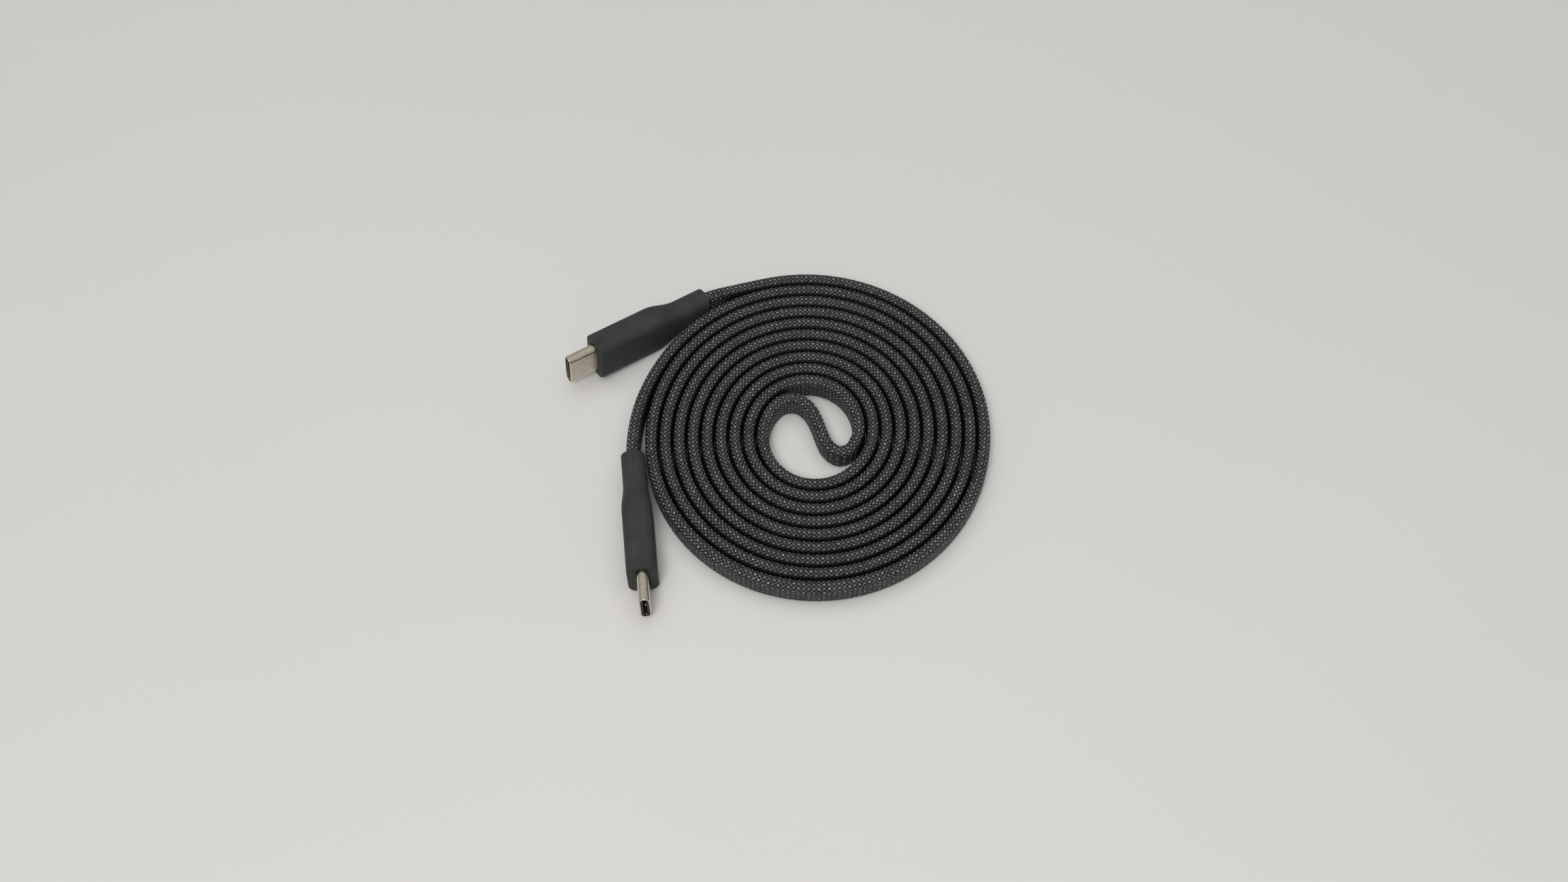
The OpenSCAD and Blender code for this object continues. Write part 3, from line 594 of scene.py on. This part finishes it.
def boreLoops():
    # loops through the inside, from the front to the tail
    s = overmoldShape
    loops = []

    def stadium(x, size, more=0.0):
        thickness, height = (one + more for one in size)
        loops.append(roundedLoop(x, thickness, height, thickness / 2 - s["stadiumFlat"]))
    shell = (plugShell["thickness"], plugShell["width"])
    pocket = tuple(size + 2 * gap for size, gap in zip(shell, s["pocketGap"]))
    ferrule = (s["ferruleThickness"], s["ferruleHeight"])
    cord = (cordShape["thickness"], cordShape["height"])
    floor, back, fit = -s["pocketDepth"], s["ferruleBack"] - s["fit"], 2 * s["fit"]
    stadium(0, pocket, 2 * s["pocketRound"] + s["holdBand"])
    for k in range(s["pocketSteps"] + 1):
        turn = math.pi / 2 * k / s["pocketSteps"]
        x = -s["pocketRound"] * (1 - math.cos(turn))
        stadium(x, pocket, 2 * s["pocketRound"] * (1 - math.sin(turn)))
    stadium(floor + s["pocketFoot"], pocket)
    stadium(floor, pocket, -s["pocketFoot"])
    stadium(floor, shell, fit)
    stadium(-s["frontWall"], shell, fit)
    cavityT, cavityH = (s[k] - 2 * s["sideWall"] for k in ("bodyThickness", "bodyHeight"))
    for x in (-s["frontWall"], s["cavityBack"]):
        loops.append(roundedLoop(x, cavityT, cavityH, s["bodyCorner"] - s["sideWall"]))
    stadium(s["cavityBack"], ferrule, fit)
    stadium(back, ferrule, fit)
    stadium(back, cord, fit)
    stadium(-overmoldLength + s["boreMouth"], cord, fit)
    stadium(-overmoldLength, cord, fit + s["boreMouth"])
    return loops


gateNib = {
    "x": -0.0182,
    "aside": 0.0001,
    "radius": 0.00028,
    "stretch": (1.1, 0.8, 0.35),     # a flattened bead on the parting line
}


def addOvermold(name, placing, nibSide):
    bm = bmesh.new()
    loops = overmoldLoops() + boreLoops()
    ring = [bm.verts.new(point) for point in loops[0]]
    edges = [bm.edges.new((ring[k - 1], ring[k])) for k in range(len(ring))]
    for loop in loops[1:] + loops[:1]:
        made = bmesh.ops.extrude_edge_only(bm, edges=edges)["geom"]
        fresh = {item for item in made if isinstance(item, bmesh.types.BMVert)}
        edges = [item for item in made if isinstance(item, bmesh.types.BMEdge)]
        ring = [
            next(e.other_vert(v) for e in v.link_edges if e.other_vert(v) in fresh) for v in ring
        ]
        for vert, point in zip(ring, loop):
            vert.co = point
    bmesh.ops.remove_doubles(bm, verts=bm.verts, dist=1e-7)
    s, nib = overmoldShape, gateNib
    share = ease(min(1, max(0, (-nib["x"] - s["bodyLength"]) / s["blendLength"])))
    top = (s["bodyHeight"] + (s["neckHeight"] - s["bodyHeight"]) * share) / 2
    place = Matrix.Translation((nib["x"], nib["aside"], nibSide * top))
    bmesh.ops.create_icosphere(
        bm, subdivisions=3, radius=nib["radius"],
        matrix=place @ Matrix.Diagonal((*nib["stretch"], 1)),
    )
    bmesh.ops.recalc_face_normals(bm, faces=bm.faces)
    return finishMesh(bm, name, placing)


plugShell = {
    "width": 0.00825,
    "thickness": 0.0024,
    "wall": 0.0003,
    "reach": 0.0069,
    "root": 0.0034,
    "lipOuter": 0.0002,
    "lipInner": 0.00006,
    "endSegments": 14,
    "lipSegments": 4,
}


def addShell(name, placing):
    s = plugShell
    bm = bmesh.new()
    # a flat bar's end, its two short sides rounded over their full height
    end = Matrix.Translation((s["reach"], 0, 0)) @ Matrix.Rotation(math.pi / 2, 4, "Y")
    bmesh.ops.create_grid(bm, x_segments=1, y_segments=1, size=0.5, matrix=end)
    bmesh.ops.scale(bm, verts=bm.verts, vec=(1, s["thickness"], s["width"]))
    bmesh.ops.bevel(
        bm, geom=list(bm.verts), offset=s["thickness"] / 2 - overmoldShape["stadiumFlat"],
        segments=s["endSegments"], profile=0.5, affect="VERTICES", material=-1,
    )
    bmesh.ops.inset_region(
        bm, faces=list(bm.faces), thickness=s["wall"], use_even_offset=True, use_boundary=True
    )
    middle = max(bm.faces, key=lambda f: f.calc_area())
    bmesh.ops.delete(bm, geom=[middle], context="FACES_ONLY")
    sleeve = bmesh.ops.extrude_face_region(bm, geom=list(bm.faces))
    moved = [v for v in sleeve["geom"] if isinstance(v, bmesh.types.BMVert)]
    bmesh.ops.translate(bm, verts=moved, vec=(-s["reach"] - s["root"], 0, 0))
    bmesh.ops.recalc_face_normals(bm, faces=bm.faces)
    halfSkin = (s["thickness"] - s["wall"]) / 2

    def lip(outer):
        # the mouth's outer or inner edge
        found = []
        for edge in bm.edges:
            if min(v.co.x for v in edge.verts) < s["reach"] - 1e-6 or len(edge.link_faces) != 2:
                continue
            if abs(edge.link_faces[0].normal.dot(edge.link_faces[1].normal)) > 0.5:
                continue
            point = (edge.verts[0].co + edge.verts[1].co) / 2
            z = max(0, abs(point.z) - (s["width"] - s["thickness"]) / 2)
            if (math.hypot(point.y, z) > halfSkin) == outer:
                found.append(edge)
        return found
    for outer, size in ((True, s["lipOuter"]), (False, s["lipInner"])):
        bmesh.ops.bevel(
            bm, geom=lip(outer), offset=size, segments=s["lipSegments"], profile=0.5,
            affect="EDGES", material=-1,
        )
    return finishMesh(bm, name, placing)


overmoldA = addOvermold("overmoldA", plugA, -1)
overmoldB = addOvermold("overmoldB", plugB, 1)
shellA = addShell("plugShellA", plugA)
shellB = addShell("plugShellB", plugB)
print("overmolds and shells made")


def startMaterial(name):
    material = bpy.data.materials.new(name)
    material.use_nodes = True
    tree = material.node_tree
    return material, tree, tree.nodes["Principled BSDF"]


def addNode(tree, kind, **settings):
    node = tree.nodes.new(kind)
    for key, value in settings.items():
        setattr(node, key, value)
    return node


def plugIn(tree, value, socket):
    # a number or a colour is set, and another node's output is linked
    if isinstance(value, (int, float, tuple)):
        socket.default_value = value
    else:
        tree.links.new(value, socket)


def addMath(tree, operation, first, second=0.0):
    node = addNode(tree, "ShaderNodeMath", operation=operation)
    plugIn(tree, first, node.inputs[0])
    plugIn(tree, second, node.inputs[1])
    return node.outputs["Value"]


def addRemap(tree, value, fromRange, toRange, smooth=False):
    node = addNode(tree, "ShaderNodeMapRange")
    if smooth:
        node.interpolation_type = "SMOOTHSTEP"
    node.inputs["From Min"].default_value, node.inputs["From Max"].default_value = fromRange
    node.inputs["To Min"].default_value, node.inputs["To Max"].default_value = toRange
    tree.links.new(value, node.inputs["Value"])
    return node.outputs["Result"]


def addMix(tree, first, second, factor, kind="RGBA"):
    node = addNode(tree, "ShaderNodeMix", data_type=kind)
    for value, name in ((first, "A"), (second, "B"), (factor, "Factor")):
        plugIn(tree, value, node.inputs[name])
    return node.outputs["Result"]


def addShade(tree, colour, share):
    # darkens or lightens a colour by a grey share
    node = addNode(tree, "ShaderNodeMix", data_type="RGBA", blend_type="MULTIPLY")
    for value, name in ((colour, "A"), (share, "B"), (1.0, "Factor")):
        plugIn(tree, value, node.inputs[name])
    return node.outputs["Result"]


def addRelief(tree, shader, height, distance):
    relief = addNode(tree, "ShaderNodeBump")
    relief.inputs["Strength"].default_value = 1.0
    relief.inputs["Distance"].default_value = distance
    tree.links.new(height, relief.inputs["Height"])
    tree.links.new(relief.outputs["Normal"], shader.inputs["Normal"])


grainLook = {
    "grainScale": 4000.0,      # where a material gives none of its own
    "cloudScale": 300.0,
    "grainDetail": 4,
    "cloudDetail": 2,
    "cloudRange": (0.35, 0.65),
}


def grainGroup():
    # fine grain as a height, and slow cloudy variation as a mask
    s = grainLook
    group = bpy.data.node_groups.new("fineGrain", "ShaderNodeTree")
    for name, value in (("Grain Scale", s["grainScale"]), ("Cloud Scale", s["cloudScale"])):
        socket = group.interface.new_socket(
            name=name, in_out="INPUT", socket_type="NodeSocketFloat"
        )
        socket.default_value = value
    for name in ("Height", "Cloud"):
        group.interface.new_socket(name=name, in_out="OUTPUT", socket_type="NodeSocketFloat")
    given = addNode(group, "NodeGroupInput")
    out = addNode(group, "NodeGroupOutput")
    place = addNode(group, "ShaderNodeTexCoord")
    for socket, detail, target in (
        ("Grain Scale", s["grainDetail"], "Height"), ("Cloud Scale", s["cloudDetail"], "Cloud")
    ):
        noise = addNode(group, "ShaderNodeTexNoise")
        noise.inputs["Detail"].default_value = detail
        group.links.new(place.outputs["Object"], noise.inputs["Vector"])
        group.links.new(given.outputs[socket], noise.inputs["Scale"])
        group.links.new(noise.outputs["Fac"], out.inputs[target])
    return group


fineGrain = grainGroup()


def grainyMaterial(name, dark, light, roughness, scales, bump, metallic=0.0, gloss=0.5):
    # moulded plastic, rubber, sheet metal and the like: cloudy colour over a fine grain
    material, tree, shader = startMaterial(name)
    shader.inputs["Metallic"].default_value = metallic
    shader.inputs["Specular IOR Level"].default_value = gloss
    grain = addNode(tree, "ShaderNodeGroup", node_tree=fineGrain)
    grain.inputs["Grain Scale"].default_value = scales[0]
    grain.inputs["Cloud Scale"].default_value = scales[1]
    colours = addNode(tree, "ShaderNodeValToRGB")
    ends = zip(colours.color_ramp.elements, grainLook["cloudRange"], (dark, light))
    for element, position, tone in ends:
        element.position = position
        element.color = tone
    tree.links.new(grain.outputs["Cloud"], colours.inputs["Fac"])
    tree.links.new(colours.outputs["Color"], shader.inputs["Base Color"])
    rough = addRemap(tree, grain.outputs["Height"], (0, 1), roughness)
    tree.links.new(rough, shader.inputs["Roughness"])
    addRelief(tree, shader, grain.outputs["Height"], bump)
    return material


sleeveFinish = {
    "darkYarn": (71, 74, 73),
    "lightYarn": (129, 133, 131),
    "crownSize": (0.62, 0.2),      # where a light crown fades out, and where it is full
    "yarnScale": (2.2, 4.6),       # yarn variation along a strand and across it, per strand
    "yarnDetail": 3.0,
    "yarnFineness": 0.65,
    "yarnRange": (0.32, 0.68),
    "yarnContrast": (0.2, 2.3),
    "strandContrast": (0.5, 1.38),
    "edgeShade": 0.08,             # painted shade on a strand's edge against its middle
    "floatNotchShade": 0.5,             # how much of that painted shade a long float gets between two crossings
    "rimShadeSize": (0.04, 0.22),       # where the painted shade on the rim begins, and where it is full
    "deepShade": 0.1,              # painted shade where a strand dives under another
    "deepRange": (0.1, 0.9),
    "creviceShade": 0.05,          # painted shade in the grooves between two turns
    "roughness": 0.55,
    "gloss": 0.3,
    "domeHeight": 0.00007,
    "yarnHeight": 0.00005,
}


def yarnMaterial():
    # charcoal strands with light grey crowns, both of many fine yarns, with painted shade on rims,
    # dives and crevices and a painted highlight on dark crowns
    s = sleeveFinish
    material, tree, shader = startMaterial("sleeveYarn")
    tint = addNode(tree, "ShaderNodeVertexColor", layer_name="yarnToneAndPaintedShade")
    parts = addNode(tree, "ShaderNodeSeparateColor")
    tree.links.new(tint.outputs["Color"], parts.inputs["Color"])
    lightYarnOrHighlight, strandShade, rise = (parts.outputs[name] for name in ("Red", "Green", "Blue"))
    yarn = addNode(tree, "ShaderNodeUVMap", uv_map="yarn")
    lie = addNode(tree, "ShaderNodeSeparateXYZ")
    tree.links.new(yarn.outputs["UV"], lie.inputs["Vector"])
    # squared distance from the middle of the crossing, along the strand and across it
    run, side = (addMath(tree, "PINGPONG", lie.outputs[axis], 0.5) for axis in ("X", "Y"))
    run2, side2 = (addMath(tree, "MULTIPLY", one, one) for one in (run, side))
    reach = addMath(tree, "SQRT", addMath(tree, "ADD", run2, side2))
    fade = addRemap(tree, reach, s["crownSize"], (0, 1), smooth=True)
    crown = addMath(tree, "MULTIPLY", lightYarnOrHighlight, fade)
    stretch = addNode(tree, "ShaderNodeMapping")
    stretch.inputs["Scale"].default_value = (*s["yarnScale"], 1.0)
    tree.links.new(yarn.outputs["UV"], stretch.inputs["Vector"])
    yarns = addNode(tree, "ShaderNodeTexNoise", noise_dimensions="2D")
    yarns.inputs["Scale"].default_value = 1.0
    yarns.inputs["Detail"].default_value = s["yarnDetail"]
    yarns.inputs["Roughness"].default_value = s["yarnFineness"]
    tree.links.new(stretch.outputs["Vector"], yarns.inputs["Vector"])
    # painted shade darkens a crown's rim all round, and a long float's rim between two crossings
    notch = addMath(tree, "MULTIPLY", run2, addRemap(tree, lightYarnOrHighlight, (0, 1), (s["floatNotchShade"], 1)))
    rim = addMath(tree, "ADD", side2, notch)
    colour = addMix(tree, linearTone(*s["darkYarn"]), linearTone(*s["lightYarn"]), crown)
    # random strand and yarn tone, then painted shade on the rims, where strands dive and in the
    # crevices between turns
    for value, fromRange, toRange in (
        (strandShade, (0, 1), s["strandContrast"]),
        (yarns.outputs["Fac"], s["yarnRange"], s["yarnContrast"]),
        (rim, s["rimShadeSize"], (1, s["edgeShade"])),
        (rise, s["deepRange"], (s["deepShade"], 1)),
        (tint.outputs["Alpha"], (0, 1), (s["creviceShade"], 1)),
    ):
        colour = addShade(tree, colour, addRemap(tree, value, fromRange, toRange))
    tree.links.new(colour, shader.inputs["Base Color"])
    shader.inputs["Roughness"].default_value = s["roughness"]
    shader.inputs["Specular IOR Level"].default_value = s["gloss"]
    dome = addMath(tree, "ADD", side2, addMath(tree, "MULTIPLY", run2, lightYarnOrHighlight))
    height = addMath(tree, "MULTIPLY", dome, -4 * s["domeHeight"] / s["yarnHeight"])
    height = addMath(tree, "ADD", height, yarns.outputs["Fac"])
    addRelief(tree, shader, height, s["yarnHeight"])
    return material


def plugCoordinates(tree, placing):
    # Object coordinates turned back into the plug's own: X to the tip, Z across its width
    place = addNode(tree, "ShaderNodeTexCoord")
    local = addNode(tree, "ShaderNodeMapping")
    turned = placing.inverted()
    local.inputs["Location"].default_value = turned.to_translation()
    local.inputs["Rotation"].default_value = turned.to_euler()
    tree.links.new(place.outputs["Object"], local.inputs["Vector"])
    parts = addNode(tree, "ShaderNodeSeparateXYZ")
    tree.links.new(local.outputs["Vector"], parts.inputs["Vector"])
    return local.outputs["Vector"], parts.outputs


wireFinish = {
    "spread": (-0.003, 0.003),
    # where each colour begins across the plug, from 0 to 1
    "colours": (
        (0, (26, 26, 27)), (0.27, (226, 226, 222)), (0.435, (30, 130, 66)),
        (0.565, (38, 84, 170)), (0.73, (170, 30, 28)),
    ),
    "roughness": (0.3, 0.45),
}


def wireMaterial(placing):
    # five insulation colours, picked by how far across the plug a wire lies
    s = wireFinish
    material, tree, shader = startMaterial("wireInsulation")
    parts = plugCoordinates(tree, placing)[1]
    colours = addNode(tree, "ShaderNodeValToRGB")
    ramp = colours.color_ramp
    ramp.interpolation = "CONSTANT"
    ramp.elements.remove(ramp.elements[1])
    ramp.elements[0].color = linearTone(*s["colours"][0][1])
    for position, tone in s["colours"][1:]:
        ramp.elements.new(position).color = linearTone(*tone)
    across = addRemap(tree, parts["Z"], s["spread"], (0, 1))
    tree.links.new(across, colours.inputs["Fac"])
    tree.links.new(colours.outputs["Color"], shader.inputs["Base Color"])
    grain = addNode(tree, "ShaderNodeGroup", node_tree=fineGrain)
    rough = addRemap(tree, grain.outputs["Height"], (0, 1), s["roughness"], smooth=True)
    tree.links.new(rough, shader.inputs["Roughness"])
    return material


shellFinish = {
    "tone": (209, 200, 186),
    "dullTone": (198, 188, 174),
    "cloudScale": 700.0,
    "cloudRange": (0.3, 0.6),
    "flatRoughness": (0.42, 0.54),
    "endRoughness": 0.22,
    "endFrom": (0.0026, 0.0031),     # across the plug, where the round end begins
    "rimRoughness": 0.14,
    "rimFrom": (0.0064, 0.00675),
    "brushStretch": (250.0, 6000.0, 2600.0),
    "brushDetail": 4.0,
    "brushRange": (0.3, 0.7),
    "brushHeight": 0.0000005,
}


def nickelMaterial(placing):
    # nickel plate: fine brushing along the flats, polished on the round ends and the rim
    s = shellFinish
    material, tree, shader = startMaterial("shellNickel")
    shader.inputs["Metallic"].default_value = 1.0
    local, parts = plugCoordinates(tree, placing)
    stretch = addNode(tree, "ShaderNodeMapping")
    stretch.inputs["Scale"].default_value = s["brushStretch"]
    tree.links.new(local, stretch.inputs["Vector"])
    brushing = addNode(tree, "ShaderNodeTexNoise")
    brushing.inputs["Scale"].default_value = 1.0
    brushing.inputs["Detail"].default_value = s["brushDetail"]
    tree.links.new(stretch.outputs["Vector"], brushing.inputs["Vector"])
    brushed = brushing.outputs["Fac"]
    across = addMath(tree, "ABSOLUTE", parts["Z"])
    rough = addRemap(tree, brushed, s["brushRange"], s["flatRoughness"], smooth=True)
    for value, fromRange, roughness in (
        (across, s["endFrom"], s["endRoughness"]), (parts["X"], s["rimFrom"], s["rimRoughness"])
    ):
        where = addRemap(tree, value, fromRange, (0, 1), smooth=True)
        rough = addMix(tree, rough, roughness, where, kind="FLOAT")
    tree.links.new(rough, shader.inputs["Roughness"])
    grain = addNode(tree, "ShaderNodeGroup", node_tree=fineGrain)
    grain.inputs["Cloud Scale"].default_value = s["cloudScale"]
    bright = addRemap(tree, grain.outputs["Cloud"], s["cloudRange"], (0, 1), smooth=True)
    tone = addMix(tree, linearTone(*s["dullTone"]), linearTone(*s["tone"]), bright)
    tree.links.new(tone, shader.inputs["Base Color"])
    addRelief(tree, shader, brushed, s["brushHeight"])
    return material


def paint(piece, material):
    piece.data.materials.clear()
    piece.data.materials.append(material)


# dark and light tone, roughness from and to, grain and cloud scale, bump, metallic, gloss
plainFinishes = {
    "overmoldRubber": ((49, 52, 51), (57, 60, 59), (0.52, 0.66), (9000, 250), 0.000012, 0, 0.22),
    "cordJacketBlack": ((14, 14, 15), (22, 22, 23), (0.5, 0.65), (5000, 300), 0.00001),
    "insulatorBlack": ((12, 12, 13), (18, 18, 19), (0.4, 0.55), (8000, 600), 0.000006),
    "contactGold": ((214, 168, 82), (236, 196, 110), (0.2, 0.32), (6000, 900), 0.000002, 1),
    "stampedSteel": ((176, 174, 168), (202, 200, 194), (0.25, 0.4), (7000, 700), 0.000003, 1),
    "boardMask": ((18, 78, 50), (30, 104, 66), (0.22, 0.34), (6000, 900), 0.000005),
    "chipEpoxy": ((26, 26, 28), (38, 38, 40), (0.5, 0.65), (9000, 800), 0.000008),
    "passiveCeramic": ((146, 112, 80), (172, 140, 104), (0.35, 0.5), (8000, 1200), 0.000006),
    "solderTin": ((186, 188, 192), (212, 213, 216), (0.18, 0.34), (3500, 900), 0.000008, 1),
    "wireCopper": ((184, 104, 66), (214, 134, 90), (0.24, 0.4), (6500, 900), 0.000008, 1),
    "ferruleBrass": ((178, 160, 110), (202, 184, 132), (0.26, 0.42), (5000, 600), 0.000004, 1),
    "canTinned": ((176, 176, 172), (200, 200, 196), (0.3, 0.46), (5000, 500), 0.000004, 1),
    "innerMouldPlastic": ((206, 205, 198), (222, 221, 214), (0.42, 0.56), (6000, 400), 0.00001),
}
nodeFinish = {
    "insulator": "insulatorBlack",
    "upper_contacts": "contactGold",
    "lower_contacts": "contactGold",
    "side_latch": "stampedSteel",
    "ground_springs": "stampedSteel",
    "board": "boardMask",
    "marker_chip": "chipEpoxy",
    "passives": "passiveCeramic",
    "solder": "solderTin",
    "wire_cores": "wireCopper",
    "ferrule": "ferruleBrass",
    "can_upper": "canTinned",
    "can_lower": "canTinned",
    "inner_mould": "innerMouldPlastic",
}

finishes = {
    name: grainyMaterial(name, linearTone(*dark), linearTone(*light), *rest)
    for name, (dark, light, *rest) in plainFinishes.items()
}
for side in ("a", "b"):
    for ending, finish in nodeFinish.items():
        nodeName = f"plug_{side}_{ending}"
        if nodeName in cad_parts:       # plug B holds no marker chip
            paint(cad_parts[nodeName], finishes[finish])
paint(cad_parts["plug_a_wires"], wireMaterial(plugA))
paint(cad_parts["plug_b_wires"], wireMaterial(plugB))
paint(jacket, finishes["cordJacketBlack"])
sleeveYarn = yarnMaterial()
for piece in sleeves:
    paint(piece, sleeveYarn)
for piece in (overmoldA, overmoldB):
    paint(piece, finishes["overmoldRubber"])
paint(shellA, nickelMaterial(plugA))
paint(shellB, nickelMaterial(plugB))
print("materials made")


# what each piece rides on, and which of the solids' nodes are hidden

for piece in [jacket, overmoldA, overmoldB, shellA, shellB] + sleeves:
    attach(piece, "root")
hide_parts("cord_coil", "cord_lead_a", "cord_lead_b", "plug_a_cord_end", "plug_b_cord_end")
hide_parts("plug_a_overmold")
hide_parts("plug_b_overmold")
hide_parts("plug_a_shell")
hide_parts("plug_b_shell")


studio = {
    "floorTone": (217, 215, 212),
    "floorShade": 0.985,          # its darker clouds against its tone
    "floorRoughness": (0.55, 0.65),
    "floorScales": (900, 6),      # grain and clouds
    "floorBump": 0.00001,
    "floorHalf": 3,
    "floorDrop": 0.00003,
    "skyTone": (234, 233, 231),
    "skyStrength": 0.26,
    "metalSees": (0.4, 0.74),     # what bright metal mirrors, low down and overhead
    "metalHeights": (0.1, 0.95),
    "softPlace": (-0.02, 0.03, 0.95),
    "softSize": 1.15,
    "softPower": 5.1,
    "keyPlace": (-0.14, -0.52, 0.92),
    "keySize": 0.32,
    "keyPower": 4.6,
}


def addFloor():
    s = studio
    bm = bmesh.new()
    bmesh.ops.create_grid(bm, x_segments=1, y_segments=1, size=s["floorHalf"])
    floor = finishMesh(bm, "floor", Matrix.Translation((0, 0, -s["floorDrop"])))
    tone = linearTone(*s["floorTone"])
    darker = (*(part * s["floorShade"] for part in tone[:3]), 1)
    paint(floor, grainyMaterial(
        "floorPaper", darker, tone, s["floorRoughness"], s["floorScales"], s["floorBump"]
    ))


def addLamp(name, place, size, power):
    data = bpy.data.lights.new(name, "AREA")
    data.size = size
    data.energy = power
    lamp = bpy.data.objects.new(name, data)
    lamp.location = place
    lamp.rotation_euler = (-Vector(place)).to_track_quat("-Z", "Y").to_euler()
    scene.collection.objects.link(lamp)
    return lamp


def addLight():
    s = studio
    world = bpy.data.worlds.new("studioSky")
    scene.world = world
    world.use_nodes = True
    tree = world.node_tree
    sky = tree.nodes["Background"]
    sky.inputs["Color"].default_value = linearTone(*s["skyTone"])
    rays = addNode(tree, "ShaderNodeLightPath")
    place = addNode(tree, "ShaderNodeTexCoord")
    parts = addNode(tree, "ShaderNodeSeparateXYZ")
    tree.links.new(place.outputs["Generated"], parts.inputs["Vector"])
    mirrored = addRemap(tree, parts.outputs["Z"], s["metalHeights"], s["metalSees"])
    glossy = rays.outputs["Is Glossy Ray"]
    strength = addMix(tree, s["skyStrength"], mirrored, glossy, kind="FLOAT")
    tree.links.new(strength, sky.inputs["Strength"])
    soft = addLamp("softLight", s["softPlace"], s["softSize"], s["softPower"])
    soft.visible_glossy = False
    addLamp("keyLight", s["keyPlace"], s["keySize"], s["keyPower"])


addFloor()
addLight()
scene.view_settings.view_transform = "Standard"
print("floor and light made")
